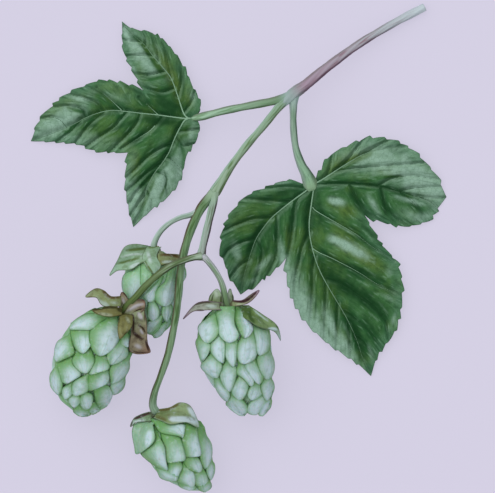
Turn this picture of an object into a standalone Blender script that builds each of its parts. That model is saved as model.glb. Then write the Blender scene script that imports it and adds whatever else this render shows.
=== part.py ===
"""A cut sprig of hop bine, lying on a table, as a set of closed solids.

The sprig has a length of bine that ends in a node. Two lobed leaves and one flower stalk grow from
the node. The flower stalk forks into stalks that carry four cones. Each cone is a spike of scales
that overlap like roof tiles, with a few leafy bracts round the place where its stalk enters.

Places in the plane of the table are written as (u, v), the pixel of the picture that the sprig was
measured from. `on_table` turns them into metres by SCALE, which comes from the length of one cone.
Heights over the table and radii are in millimetres.
"""

import math
from dataclasses import dataclass, field

import bmesh
import bpy
import numpy as np
from mathutils import Vector
from mathutils.geometry import delaunay_2d_cdt

# ---------------------------------------------------------------- driving dimensions

MM = 0.001
CONE_LENGTH = 38 * MM  # the left cone, from where its stalk enters to its tip
CONE_SPAN_PX = 108.5  # the same cone in the picture
SCALE = CONE_LENGTH / CONE_SPAN_PX  # metres for each pixel
ORIGIN_PX = (238.7, 248.5)  # the pixel over the origin, at the middle of the sprig

GAP = 0.3 * MM  # left between pieces that touch
BLADE_THICKNESS = 0.6 * MM
BRACT_THICKNESS = 0.6 * MM
TABLE_SPACE = (300 * MM, 300 * MM, 40 * MM)

CURVE_STEPS = 6  # points of a curve for each stretch between the given ones
STALK_SIDES = 8
STALK_STEP_PX = 12.0  # between the rings of a stalk
TOOTH_STEPS = 4  # points of a leaf's edge for each tooth
BLADE_SPACING_PX = 25.0  # between the points inside a blade
PLATE_PX = 100.0  # the unit of length in which a blade's heights are worked out
SHARP_DEGREES = 40.0  # edges bent more than this are shaded sharp

SCALES = 18  # of each cone
SCALE_ROWS = (0.0, 0.5, 0.85, 1.0)  # where a scale has its cross sections
GOLDEN_TURN = math.pi * (3 - math.sqrt(5))  # between one scale and the next
LAST_SCALE = 0.76  # where the last scale starts, as a share of the cone's length
FIRST_REACH = 0.37  # lengths of the first and the last scale, as shares of the cone's
LAST_REACH = 0.22
SCALE_WIDTH = 0.8  # half the width of a scale, as a share of the cone's radius there
SCALE_ROOT = 0.82  # how far out a scale starts, and how much further its tip and its middle go
SCALE_RISE = 0.17
SCALE_BULGE = 0.07
SCALE_KEEL = 0.10  # how far its sides lie below its middle line
SCALE_DEPTH = 0.45  # where its filling ends, inside the core
CONE_FULLNESS = 0.52  # below 1 makes a cone's ends blunter
CORE_RADIUS = 0.84
CORE_SIDES = 8
CORE_ROWS = 4
BRACT_STEPS = 4  # stretches of a leafy bract
BRACT_ROOT = 0.36  # its width at the root, as a share of its greatest width
BRACT_HOLLOW = 0.12  # how far its middle line sinks, as a share of its width

# ---------------------------------------------------------------- stalks: (u, v, height, radius)

BINE = [
    (425.0, 6.5, 1.4, 1.4),
    (394.5, 22.5, 2.2, 1.35),
    (359.5, 43.5, 4.0, 1.35),
    (328.0, 66.5, 6.4, 1.6),
    (306.0, 84.5, 8.2, 2.0),
    (294.0, 93.5, 8.8, 2.5),
    (286.0, 100.5, 9.1, 2.1),
]
LEFT_PETIOLE = [
    (290.0, 97.5, 9.0, 1.5),
    (275.0, 101.2, 9.0, 1.4),
    (248.0, 106.0, 8.3, 1.3),
    (224.0, 110.8, 7.2, 1.3),
    (204.0, 116.0, 6.2, 1.35),
    (190.0, 118.2, 5.5, 1.2),
]
RIGHT_PETIOLE = [
    (291.0, 97.5, 9.0, 1.3),
    (293.3, 108.0, 9.0, 1.15),
    (293.4, 127.0, 8.6, 1.15),
    (295.6, 147.0, 8.0, 1.2),
    (300.8, 163.5, 7.3, 1.45),
    (307.0, 176.0, 6.8, 2.1),
    (311.5, 188.0, 6.3, 2.3),
]
FLOWER_STALK = [
    (289.0, 99.0, 9.2, 1.4),
    (279.7, 105.5, 9.4, 1.4),
    (264.0, 125.5, 10.2, 1.4),
    (248.0, 144.0, 11.3, 1.4),
    (232.0, 165.0, 12.7, 1.5),
    (220.0, 184.0, 14.0, 1.8),
    (212.5, 196.0, 14.8, 2.1),
]
BOTTOM_CONE_STALK = [
    (214.0, 193.0, 14.6, 1.4),
    (207.0, 200.5, 14.8, 1.6),
    (199.5, 211.0, 15.0, 1.6),
    (191.6, 228.0, 15.5, 1.5),
    (185.7, 246.0, 16.3, 1.4),
    (181.5, 265.0, 17.4, 1.35),
    (178.8, 290.0, 19.0, 1.3),
    (176.7, 312.0, 18.8, 1.25),
    (172.7, 334.0, 17.4, 1.25),
    (167.7, 355.6, 15.6, 1.2),
    (160.7, 376.0, 13.9, 1.15),
    (154.8, 392.0, 12.9, 1.15),
    (153.0, 405.0, 12.4, 1.4),
    (157.5, 414.5, 12.1, 1.7),
]
PAIR_STALK = [
    (214.5, 193.0, 15.1, 1.2),
    (214.0, 201.0, 15.6, 1.25),
    (211.0, 213.0, 16.3, 1.3),
    (207.0, 230.0, 17.4, 1.3),
    (203.2, 246.0, 18.6, 1.3),
    (201.0, 257.5, 19.5, 1.7),
]
LEFT_CONE_STALK = [
    (201.5, 256.0, 19.5, 1.2),
    (192.4, 257.7, 20.2, 1.1),
    (183.2, 260.5, 21.0, 1.1),
    (173.9, 264.2, 21.8, 1.15),
    (164.7, 269.7, 22.5, 1.15),
    (155.5, 277.0, 22.8, 1.15),
    (146.2, 285.6, 22.3, 1.15),
    (137.0, 295.8, 21.0, 1.15),
    (128.5, 304.5, 19.2, 1.2),
    (120.5, 314.5, 17.4, 1.3),
]
RIGHT_CONE_STALK = [
    (201.5, 256.0, 19.4, 1.1),
    (206.5, 259.5, 19.3, 1.0),
    (214.6, 269.7, 18.6, 1.0),
    (221.0, 281.0, 17.8, 1.0),
    (224.2, 292.0, 17.0, 1.05),
    (225.8, 302.0, 16.3, 1.2),
    (228.0, 311.0, 15.8, 1.4),
]
BACK_CONE_STALK = [
    (199.0, 211.5, 15.0, 1.0),
    (190.6, 215.0, 15.0, 0.95),
    (181.3, 217.3, 14.7, 0.9),
    (172.1, 221.6, 14.1, 0.9),
    (164.7, 227.2, 13.3, 0.9),
    (159.1, 233.6, 12.4, 0.95),
    (154.8, 242.0, 11.4, 1.1),
    (153.3, 251.0, 10.6, 1.3),
]

# name, route, and the stalks that it grows from, which it's trimmed round
STALKS = (
    ("bine_stem", BINE, ()),
    ("left_leaf_petiole", LEFT_PETIOLE, ("bine_stem",)),
    ("right_leaf_petiole", RIGHT_PETIOLE, ("bine_stem",)),
    ("flower_stalk", FLOWER_STALK, ("bine_stem", "left_leaf_petiole", "right_leaf_petiole")),
    ("bottom_cone_stalk", BOTTOM_CONE_STALK, ("flower_stalk",)),
    ("cone_pair_stalk", PAIR_STALK, ("flower_stalk", "bottom_cone_stalk")),
    ("left_cone_stalk", LEFT_CONE_STALK, ("cone_pair_stalk",)),
    ("right_cone_stalk", RIGHT_CONE_STALK, ("cone_pair_stalk", "left_cone_stalk")),
    ("back_cone_stalk", BACK_CONE_STALK, ("bottom_cone_stalk",)),
)


# ---------------------------------------------------------------- leaves


@dataclass
class Margin:
    """A stretch of a leaf's edge between a notch and a lobe's tip, with its saw teeth."""

    points: list
    teeth: int
    to_tip: bool  # whether the points run towards the tip


@dataclass
class Leaf:
    """A three-lobed blade: its edge, and the heights that it passes through over the table."""

    name: str
    petiole: str
    margins: list
    heights: list  # (u, v, height)
    tooth_depth: float = 2.2  # px


LEFT_LEAF = Leaf(
    name="left_leaf_blade",
    petiole="left_leaf_petiole",
    margins=[
        Margin([(195.5, 117), (199.5, 110), (199.3, 100.4), (190.5, 82.9), (183.4, 67), (169, 46.2),
                (153, 33.5), (132.5, 28.6), (122, 23)], 12, True),
        Margin([(122, 23), (123.6, 49.4), (133, 70.2), (143.5, 90.5)], 6, False),
        Margin([(143.5, 90.5), (127.6, 85), (102, 80.5), (83, 86.5), (62, 97.5), (40, 119.5),
                (30.3, 141)], 11, True),
        Margin([(30.3, 141), (57.4, 141.5), (79, 144), (96, 150.5), (112, 151.5), (127.6, 152.5)],
               9, False),
        Margin([(127.6, 152.5), (125.5, 183), (128.5, 207), (133, 227.2)], 6, True),
        Margin([(133, 227.2), (150, 210.5), (170, 193.5), (180.5, 177), (186, 156), (197, 137),
                (199, 124.5), (195.5, 118.5)], 10, False),
    ],
    heights=[
        (186, 118, 5.4), (197, 104, 4.6), (197, 131, 4.4), (160, 68, 5.2), (122, 23, 0.2),
        (128, 60, 3.4), (186, 76, 3.2), (143.5, 91, 4.7), (110, 111, 5.6), (92, 84, 2.6),
        (92, 149, 2.2), (30, 141, 0.2), (127.6, 152, 3.8), (158, 172, 4.3), (126, 185, 2.3),
        (183, 166, 2.6), (133, 227, 0.2),
    ],
)
RIGHT_LEAF = Leaf(
    name="right_leaf_blade",
    petiole="right_leaf_petiole",
    margins=[
        Margin([(302, 183.5), (286, 180.8), (266, 188), (245.5, 197.5), (227, 221), (221, 248),
                (227, 269), (232, 280), (240.5, 294.8)], 12, True),
        Margin([(240.5, 294.8), (258.5, 282), (274, 269.5), (286.3, 258)], 5, False),
        Margin([(286.3, 258), (287, 275), (293, 298), (306.5, 322), (328, 343), (355, 361.5),
                (371.3, 376.5)], 11, True),
        Margin([(371.3, 376.5), (379, 353), (395, 331), (402, 296), (399, 268), (388.5, 253),
                (376, 237), (364.4, 214.7)], 14, False),
        Margin([(364.4, 214.7), (384, 222), (407, 226), (428, 220), (440, 206), (447, 196.8)],
               8, True),
        Margin([(447, 196.8), (437, 177), (421, 158), (401, 143.5), (375, 138), (352, 144.5),
                (329, 157), (321, 171), (315.5, 181)], 12, False),
    ],
    heights=[
        (312, 186, 6.2), (262, 224, 5.6), (225, 245, 2.2), (240.5, 294, 0.2), (266, 190, 4.6),
        (286, 257, 4.8), (330, 262, 6.0), (401, 290, 2.4), (294, 300, 2.8), (371, 376, 0.2),
        (352, 325, 4.2), (364, 215, 5.0), (385, 184, 5.4), (368, 140, 3.0), (426, 163, 2.2),
        (402, 225, 2.2), (447, 197, 0.2),
    ],
    tooth_depth=2.6,
)

# ---------------------------------------------------------------- cones


@dataclass
class Bract:
    """A leafy bract at a cone's base: its line as (u, v, height), and its greatest width in px."""

    name: str
    line: list
    width: float
    blunt: float = 0.06  # its tip's width, as a share of its greatest width


@dataclass
class Cone:
    """A spike of scales in a spiral, from the place where its stalk enters to its tip."""

    name: str
    stalk: str
    base: tuple  # (u, v, height)
    middle: tuple  # halfway along its axis, which is bent
    tip: tuple
    radius: float  # px, across the widest place
    waist: float  # below 1 puts the widest place nearer the base
    phase: float  # degrees, how far the first scale is turned
    bracts: list
    flares: list = field(default_factory=list)  # lower scales that stand off, shaped as bracts
    depth: float = 1.0  # height across, as a share of the width


LEFT_CONE = Cone(
    name="left_cone",
    stalk="left_cone_stalk",
    base=(120.5, 310.5, 16.2),
    middle=(91.5, 361.0, 12.7),
    tip=(78.0, 414.0, 9.5),
    radius=41.0,
    waist=0.86,
    phase=36,
    bracts=[
        Bract("outer_left", [(118, 307, 21.0), (108, 301, 22.6), (97, 296, 22.8), (86.5, 297, 21)], 13),
        Bract("inner_left", [(118, 311, 22.2), (108, 309.5, 24.5), (94, 309.5, 25.5)], 9),
        Bract("upper", [(122, 304, 19.0), (121, 299, 18.0), (120.5, 293, 17)], 8),
        Bract("upper_right", [(128, 311, 19.6), (137, 306, 20.0), (146, 301, 20.5)], 9),
        Bract("front", [(123.5, 315, 22.3), (124, 325, 26.8), (121.5, 338, 28.4)], 12),
        Bract("right", [(127, 315, 20.5), (135, 322, 21.5), (140, 336, 20), (141, 352, 18)], 21, 0.8),
    ],
)
RIGHT_CONE = Cone(
    name="right_cone",
    stalk="right_cone_stalk",
    base=(227.5, 307.0, 15.3),
    middle=(235.5, 352.0, 12.5),
    tip=(259.5, 416.0, 9.5),
    radius=39.5,
    waist=0.82,
    phase=0,
    bracts=[
        Bract("left", [(222, 306, 19), (214, 301, 20.0), (203, 308, 19), (184, 318.5, 17)], 15),
        Bract("right", [(231, 302.5, 18), (245, 302.5, 18.5), (252, 299, 18.5), (259.5, 289.5, 19)], 4),
        Bract("drooping", [(245, 304, 17), (257, 312, 17.5), (270, 319, 15.5), (279, 331, 12)], 11),
        Bract("upper_left", [(221, 302, 17.4), (218, 296, 17.4), (216.5, 290, 17)], 10),
        Bract("upper_right", [(229.5, 301, 14), (230, 296, 13.4), (231, 290.5, 13)], 9),
    ],
)
BOTTOM_CONE = Cone(
    name="bottom_cone",
    stalk="bottom_cone_stalk",
    base=(156.5, 413.5, 12.3),
    middle=(174.5, 449.0, 11.0),
    tip=(206.5, 491.5, 9.5),
    radius=35.5,
    waist=0.8,
    phase=30,
    bracts=[
        Bract("cap", [(162, 411, 13.5), (174, 406.5, 16), (187, 408, 15.5), (199, 420, 13)], 12),
        Bract("left", [(150, 412, 13.0), (141, 415, 13.5), (131.5, 424, 12)], 7),
    ],
    flares=[
        Bract("lower_left", [(152, 417, 13), (144, 428, 13), (137, 440, 11), (137, 455, 9)], 20, 0.7),
    ],
)
BACK_CONE = Cone(
    name="back_cone",
    stalk="back_cone_stalk",
    base=(152.5, 249.5, 10.6),
    middle=(153.5, 290.0, 9.2),
    tip=(156.5, 338.5, 8.0),
    radius=32.5,
    waist=0.76,
    phase=20,
    depth=0.9,
    bracts=[
        Bract("left", [(149, 249, 13.0), (139, 250, 15.0), (125, 259, 14), (110.5, 274, 12)], 18),
        Bract("right", [(157, 248.5, 12.5), (168, 252, 13.5), (181, 256.5, 13)], 10),
        Bract("front", [(152.5, 250.5, 14.0), (153.5, 258, 18.6), (155.5, 272, 20.2)], 15),
    ],
)
CONES = (LEFT_CONE, RIGHT_CONE, BOTTOM_CONE, BACK_CONE)

COLOURS = {  # material: (linear colour, roughness)
    "bine": ((0.20, 0.17, 0.12), 0.6),
    "stalk": ((0.17, 0.25, 0.12), 0.6),
    "leaf": ((0.05, 0.14, 0.06), 0.5),
    "cone": ((0.36, 0.52, 0.38), 0.6),
    "bract": ((0.20, 0.22, 0.10), 0.65),
}


# ---------------------------------------------------------------- lines


def on_table(u, v, height=0.0):
    """The place in metres of a pixel of the picture, that many millimetres over the table."""
    return Vector(((u - ORIGIN_PX[0]) * SCALE, (ORIGIN_PX[1] - v) * SCALE, height * MM))


def through(points):
    """Points close together along the smooth curve through the given ones."""
    given = np.array(points, float)
    padded = np.vstack([2 * given[0] - given[1], given, 2 * given[-1] - given[-2]])
    found = []
    for before, start, end, after in zip(padded, padded[1:], padded[2:], padded[3:]):
        for t in np.arange(CURVE_STEPS) / CURVE_STEPS:
            bend = (2 * before - 5 * start + 4 * end - after) * t**2
            twist = (3 * start - before - 3 * end + after) * t**3
            found.append(0.5 * (2 * start + (end - before) * t + bend + twist))
    return np.array(found + [given[-1]])


def run_along(points):
    """How far along a line each of its points is."""
    return np.concatenate([[0], np.cumsum(np.linalg.norm(np.diff(points, axis=0), axis=1))])


def even(points, steps):
    """Points spread evenly along a line, that many steps from its start to its end."""
    run = run_along(points)
    wanted = np.linspace(0, run[-1], steps + 1)
    return np.stack([np.interp(wanted, run, axis) for axis in points.T], axis=1)


def directions(centres):
    """For each point of a line: the way ahead, level across it, and up from it."""
    found = []
    for before, after in zip([centres[0]] + centres[:-1], centres[1:] + [centres[-1]]):
        ahead = (after - before).normalized()
        across = ahead.cross(Vector((0, 0, 1))).normalized()
        found.append((ahead, across, across.cross(ahead)))
    return found


def around(sides):
    """The angles of that many points round a circle."""
    return [2 * math.pi * k / sides for k in range(sides)]


# ---------------------------------------------------------------- objects


def material(name):
    """The plain finish of that name, made once."""
    if name in bpy.data.materials:
        return bpy.data.materials[name]
    made = bpy.data.materials.new(name)
    made.use_nodes = True
    colour, roughness = COLOURS[name]
    shader = made.node_tree.nodes["Principled BSDF"]
    shader.inputs["Base Color"].default_value = (*colour, 1.0)
    shader.inputs["Roughness"].default_value = roughness
    return made


def add_object(name, mesh, finish=None, collection=None):
    """A new object with a bmesh's shape. Without a finish it's a helper and no part of the sprig."""
    bmesh.ops.triangulate(mesh, faces=mesh.faces)
    bmesh.ops.recalc_face_normals(mesh, faces=mesh.faces)
    data = bpy.data.meshes.new(name)
    mesh.to_mesh(data)
    mesh.free()
    made = bpy.data.objects.new(name, data)
    (collection or bpy.context.scene.collection).objects.link(made)
    if finish:
        data.materials.append(material(finish))
        data.shade_smooth()
        data.set_sharp_from_angle(angle=math.radians(SHARP_DEGREES))
    else:
        made.hide_render = True
        made.display_type = "WIRE"
    return made


def loft(loops):
    """A closed bmesh skinned over loops of the same number of points, with both ends capped."""
    mesh = bmesh.new()
    rings = [[mesh.verts.new(point) for point in loop] for loop in loops]
    for low, high in zip(rings, rings[1:]):
        for k in range(len(low)):
            after = (k + 1) % len(low)
            mesh.faces.new((low[k], low[after], high[after], high[k]))
    mesh.faces.new(rings[0][::-1])
    mesh.faces.new(rings[-1])
    return mesh


def boolean(target, other, operation="DIFFERENCE"):
    """Cuts another object from a solid, or joins a collection of them on."""
    step = target.modifiers.new(f"{operation.lower()} {other.name}", "BOOLEAN")
    step.operation = operation
    step.solver = "EXACT"
    if isinstance(other, bpy.types.Collection):
        step.operand_type = "COLLECTION"
        step.collection = other
    else:
        step.object = other


# ---------------------------------------------------------------- stalks


def stalk_loops(route, grow=0.0):
    """The rings of a round stalk along its route, `grow` metres larger all over."""
    smooth = through(route)
    line = even(smooth, round(run_along(smooth)[-1] / STALK_STEP_PX))
    centres = [on_table(u, v, height) for u, v, height, _ in line]
    loops = []
    for centre, (ahead, across, up), (*_, radius) in zip(centres, directions(centres), line):
        reach = radius * MM + grow
        loops.append(
            [centre + (across * math.cos(a) + up * math.sin(a)) * reach for a in around(STALK_SIDES)]
        )
    return lengthened(loops, directions(centres), grow)


def lengthened(loops, ways, grow):
    """The same loops with the first and the last moved out by `grow` metres."""
    return (
        [[point - ways[0][0] * grow for point in loops[0]]]
        + loops[1:-1]
        + [[point + ways[-1][0] * grow for point in loops[-1]]]
    )


def make_stalks():
    """Every stalk, trimmed round the ones that it grows from. Returns the oversize cutters by name."""
    cutters = {}
    for name, route, parents in STALKS:
        stalk = add_object(name, loft(stalk_loops(route)), "bine" if route is BINE else "stalk")
        for parent in parents:
            boolean(stalk, cutters[parent])
        cutters[name] = add_object(f"{name}_clearance", loft(stalk_loops(route, GAP)))
    return cutters


# ---------------------------------------------------------------- leaves


def toothed(margin, depth, outward):
    """The points of a margin with its saw teeth, which lean towards the lobe's tip."""
    smooth = through(margin.points)
    if not margin.to_tip:
        smooth, outward = smooth[::-1], -outward
    line = even(smooth, TOOTH_STEPS * margin.teeth)
    ahead = np.gradient(line, axis=0)
    ahead /= np.linalg.norm(ahead, axis=1)[:, None]
    sideways = np.stack([-ahead[:, 1], ahead[:, 0]], axis=1) * outward
    found = []
    for notch in range(0, len(line) - 1, TOOTH_STEPS):
        found.append(line[notch])
        point = notch + TOOTH_STEPS - 1
        if point < len(line) - 2:  # the last tooth is the lobe's own tip
            found.append(line[point] + sideways[point] * depth)
    found.append(line[-1])
    return found if margin.to_tip else found[::-1]


def outline(leaf):
    """The closed edge of a leaf's blade in px, teeth included."""
    corners = np.array([point for margin in leaf.margins for point in margin.points])
    after = np.roll(corners, -1, axis=0)
    turned = np.sum(corners[:, 0] * after[:, 1] - after[:, 0] * corners[:, 1])
    found = []
    for margin in leaf.margins:
        points = toothed(margin, leaf.tooth_depth, -math.copysign(1, turned))
        joined = found and np.linalg.norm(points[0] - found[-1]) < 1
        found += points[1:] if joined else points
    return found


def draped(heights):
    """A function for the height over the table at (u, v): a thin plate bent through given points."""
    known = np.array(heights, float)
    places, count = known[:, :2] / PLATE_PX, len(known)

    def bend(gaps):
        return gaps**2 * np.log(np.maximum(gaps, 1e-9))

    gaps = np.linalg.norm(places[:, None] - places[None], axis=2)
    level = np.hstack([np.ones((count, 1)), places])
    system = np.block([[bend(gaps), level], [level.T, np.zeros((3, 3))]])
    weights = np.linalg.solve(system, np.concatenate([known[:, 2], np.zeros(3)]))

    def height(u, v):
        place = np.array([u, v]) / PLATE_PX
        near = bend(np.linalg.norm(places - place, axis=1))
        return float(near @ weights[:count] + weights[count] + place @ weights[count + 1 :])

    return height


def inner_points(edge):
    """Points in staggered rows over the box round an edge, all clear of the edge."""
    edge = np.array(edge)
    (low_u, low_v), (high_u, high_v) = edge.min(axis=0), edge.max(axis=0)
    found = []
    for row, v in enumerate(np.arange(low_v, high_v, BLADE_SPACING_PX)):
        for u in np.arange(low_u, high_u, BLADE_SPACING_PX) + BLADE_SPACING_PX / 2 * (row % 2):
            if np.linalg.norm(edge - (u, v), axis=1).min() > BLADE_SPACING_PX / 3:
                found.append(Vector((u, v)))
    return found


def make_leaf(leaf, cutters):
    """A leaf's blade as one thin solid, trimmed round the end of its petiole."""
    edge = outline(leaf)
    places = [Vector(point) for point in edge] + inner_points(edge)
    points, _, faces, *_ = delaunay_2d_cdt(places, [], [list(range(len(edge)))], 1, 1e-4)
    height_at = draped(leaf.heights)
    mesh = bmesh.new()
    for point in points:
        middle = max(height_at(*point) * MM, BLADE_THICKNESS / 2)
        mesh.verts.new(on_table(*point) + Vector((0, 0, middle + BLADE_THICKNESS / 2)))
    mesh.verts.ensure_lookup_table()
    upper = [mesh.faces.new([mesh.verts[k] for k in face]) for face in faces]
    extruded = bmesh.ops.extrude_face_region(mesh, geom=upper)["geom"]
    lower = [item for item in extruded if isinstance(item, bmesh.types.BMVert)]
    bmesh.ops.translate(mesh, verts=lower, vec=(0, 0, -BLADE_THICKNESS))
    boolean(add_object(leaf.name, mesh, "leaf"), cutters[leaf.petiole])


# ---------------------------------------------------------------- cones


def bract_loops(bract, grow=0.0):
    """The cross sections of a leafy bract: a hollowed plate, narrow at its root and pointed."""
    centres = [on_table(*point) for point in even(through(bract.line), BRACT_STEPS)]
    ways = directions(centres)
    loops = []
    for k, (centre, (_, across, up)) in enumerate(zip(centres, ways)):
        share = k / BRACT_STEPS
        swell = max(math.sin(math.pi * share**0.8), 0.0) ** 0.7
        swell = max(swell, BRACT_ROOT * (1 - share), bract.blunt if share > 0.5 else 0.0)
        half = bract.width * SCALE / 2 * swell
        sunk = centre - up * BRACT_HOLLOW * 2 * half
        edge = across * (half + grow)
        thick = up * (BRACT_THICKNESS / 2 + grow)
        loops.append([
            centre - edge - thick, sunk - thick, centre + edge - thick,
            centre + edge + thick, sunk + thick, centre - edge + thick,
        ])
    return lengthened(loops, ways, grow)


class ConeFrame:
    """Places on a cone, by how far along its bent axis they are, how far out and which way round."""

    def __init__(self, cone):
        self.cone = cone
        self.base, middle, self.tip = (on_table(*end) for end in (cone.base, cone.middle, cone.tip))
        self.pull = 2 * middle - (self.base + self.tip) / 2  # the curve's handle

    def envelope(self, t):
        """The outer radius at a share t of the way from base to tip."""
        t = min(max(t, 0.02), 0.985)
        return self.cone.radius * SCALE * math.sin(math.pi * t**self.cone.waist) ** CONE_FULLNESS

    def point(self, t, radius, turn):
        """The point at a share t along the axis, that far out, turned from straight up."""
        centre = self.base * (1 - t) ** 2 + self.pull * 2 * t * (1 - t) + self.tip * t**2
        ahead = ((self.pull - self.base) * (1 - t) + (self.tip - self.pull) * t).normalized()
        side = ahead.cross(Vector((0, 0, 1))).normalized()
        up = side.cross(ahead) * self.cone.depth
        return centre + (side * math.sin(turn) + up * math.cos(turn)) * radius

    def core_loops(self):
        """The rings of the solid middle, which the scales overlap."""
        loops = []
        for row in range(CORE_ROWS + 1):
            t = 0.03 + 0.93 * row / CORE_ROWS
            radius = self.envelope(t) * CORE_RADIUS
            loops.append([self.point(t, radius, turn) for turn in around(CORE_SIDES)])
        return loops

    def scale_loops(self, number):
        """The cross sections of one scale: keeled, wide near its root, filled down into the core."""
        place = number / (SCALES - 1)
        start = LAST_SCALE * place
        reach = FIRST_REACH + (LAST_REACH - FIRST_REACH) * place
        turn = math.radians(self.cone.phase) + number * GOLDEN_TURN
        half_width = SCALE_WIDTH * self.envelope(start + 0.6 * reach)
        loops = []
        for share in SCALE_ROWS:
            t = start + reach * share
            outer = self.envelope(t)
            crown = outer * (SCALE_ROOT + SCALE_RISE * share + SCALE_BULGE * math.sin(math.pi * share))
            width = half_width * max(math.sin(math.pi * (0.16 + 0.84 * share) ** 1.25) ** 0.75, 0.08)
            spread = width / max(outer, 0.25 * self.cone.radius * SCALE)
            rim, inside = crown - SCALE_KEEL * outer, SCALE_DEPTH * outer
            loops.append([
                self.point(t, rim, turn - spread),
                self.point(t, crown, turn),
                self.point(t, rim, turn + spread),
                self.point(t, inside, turn + spread * 0.8),
                self.point(t, inside, turn - spread * 0.8),
            ])
        return loops


def make_cone(cone, cutters, table):
    """One cone: a core with its scales joined on, open where its stalk enters, flat where it rests."""
    frame = ConeFrame(cone)
    body = add_object(cone.name, loft(frame.core_loops()), "cone")
    scales = bpy.data.collections.new(f"{cone.name}_scales")
    scales.hide_render = True
    bpy.context.scene.collection.children.link(scales)
    for number in range(SCALES):
        add_object(f"{cone.name}_scale_{number}", loft(frame.scale_loops(number)), collection=scales)
    for flare in cone.flares:
        add_object(f"{cone.name}_{flare.name}_scale", loft(bract_loops(flare)), collection=scales)
    boolean(body, scales, "UNION")
    boolean(body, cutters[cone.stalk])
    for bract in cone.bracts:
        name = f"{cone.name}_{bract.name}_bract"
        boolean(add_object(name, loft(bract_loops(bract)), "bract"), cutters[cone.stalk])
        boolean(body, add_object(f"{name}_clearance", loft(bract_loops(bract, GAP))))
    boolean(body, table)


def make_table():
    """The space under the table's top, which presses each cone flat where it rests."""
    mesh = bmesh.new()
    bmesh.ops.create_cube(mesh, size=1.0)
    bmesh.ops.scale(mesh, vec=TABLE_SPACE, verts=mesh.verts)
    bmesh.ops.translate(mesh, vec=(0, 0, -TABLE_SPACE[2] / 2), verts=mesh.verts)
    return add_object("table_space", mesh)


def main():
    """Builds the sprig in an empty scene."""
    for old in list(bpy.data.objects):
        bpy.data.objects.remove(old)
    cutters = make_stalks()
    for leaf in (LEFT_LEAF, RIGHT_LEAF):
        make_leaf(leaf, cutters)
    table = make_table()
    for cone in CONES:
        make_cone(cone, cutters, table)


main()
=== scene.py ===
"""Looks of a cut sprig of hop bine that lies on a pale table, seen from straight above.

The sprig is a length of bine with a node, two lobed leaves on petioles, and a forked flower stalk
with four cones. A place on it is written as (u, v), the pixel of the photograph that it was measured
from, and a height over the table in millimetres. `on_table` turns those into metres.
"""

import logging
import math
from dataclasses import dataclass, field
from enum import Enum

import bpy
import numpy as np
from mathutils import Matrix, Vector, noise
from mathutils.geometry import delaunay_2d_cdt
from mathutils.kdtree import KDTree


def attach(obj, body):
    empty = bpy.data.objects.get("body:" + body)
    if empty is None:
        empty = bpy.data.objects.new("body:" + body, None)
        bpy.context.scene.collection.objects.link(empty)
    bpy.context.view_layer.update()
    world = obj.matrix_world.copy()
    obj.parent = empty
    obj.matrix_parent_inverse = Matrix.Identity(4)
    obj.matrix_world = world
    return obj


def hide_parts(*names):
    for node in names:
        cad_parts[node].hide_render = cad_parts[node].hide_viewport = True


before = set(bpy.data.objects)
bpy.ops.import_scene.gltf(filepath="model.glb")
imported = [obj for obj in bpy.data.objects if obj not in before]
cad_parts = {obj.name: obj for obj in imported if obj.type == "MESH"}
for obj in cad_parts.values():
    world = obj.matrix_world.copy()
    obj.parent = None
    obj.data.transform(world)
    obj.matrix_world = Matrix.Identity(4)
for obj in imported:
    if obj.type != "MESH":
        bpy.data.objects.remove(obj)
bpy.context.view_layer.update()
LOG = logging.getLogger("hop_bine")

# ---------------------------------------------------------------- driving sizes

MM = 0.001
CONE_LENGTH = 38 * MM  # the left cone, from where its stalk enters to its tip
CONE_SPAN_PX = 108.5  # the same cone in the photograph
SCALE = CONE_LENGTH / CONE_SPAN_PX  # metres for each pixel
PX_MM = SCALE / MM  # millimetres for each pixel
ORIGIN_PX = (238.7, 248.5)  # the pixel over the frame's origin
PHOTO_PX = (495, 493)
BODY = "root"
SEED = 7
NEAR_TIP = 0.985  # where the last row of a bract or a scale lies, just short of its point
CLEAR_MM = 0.02  # how far over the table a stalk is kept
LOWER_RIGHT_PX = (0.6, 0.8)  # the way down and to the right in the picture, as (u, v), away from the light, for the painted light and shade beside leaf veins
LOWER_RIGHT = (1.0, -0.45, 0.0)  # about the same way in the frame, for which edge of a stalk is which, as its painted light and shade go

Points = np.ndarray
Socket = bpy.types.NodeSocket
Tree = bpy.types.NodeTree


# ---------------------------------------------------------------- lines and places


def on_table(places: Points) -> Points:
    """The x, y and z in metres of rows of (u, v, height in mm)."""
    places = np.atleast_2d(np.asarray(places, float))
    return np.column_stack([flat_on_table(places), places[:, 2] * MM])


def flat_on_table(places: Points) -> Points:
    """The x and y in metres of rows that start with u and v."""
    return (places[:, :2] - ORIGIN_PX) * (SCALE, -SCALE)


def through(points: list[tuple], steps: int = 8) -> Points:
    """Points close together along the smooth curve through the given ones.

    Args:
        points: the given points, of any number of coordinates.
        steps: new points for each stretch between two given ones.

    Returns:
        The curve's points, from the first given one to the last.
    """
    given = np.array(points, float)
    padded = np.vstack([2 * given[0] - given[1], given, 2 * given[-1] - given[-2]])
    t = (np.arange(steps) / steps)[:, None]
    found = []
    for before, start, end, after in zip(padded, padded[1:], padded[2:], padded[3:]):
        bend = (2 * before - 5 * start + 4 * end - after) * t**2
        twist = (3 * start - before - 3 * end + after) * t**3
        found.append(0.5 * (2 * start + (end - before) * t + bend + twist))
    return np.vstack([*found, given[-1:]])


def run_along(points: Points) -> Points:
    """How far along a line each of its points is, in the line's own unit."""
    return np.concatenate([[0], np.cumsum(np.linalg.norm(np.diff(points, axis=0), axis=1))])


def along_line(points: Points, run: Points, wanted: Points | float) -> Points:
    """The places on a line that are as far along it as wanted, where run says how far each point is."""
    return np.stack([np.interp(wanted, run, axis) for axis in points.T], axis=-1)


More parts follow.
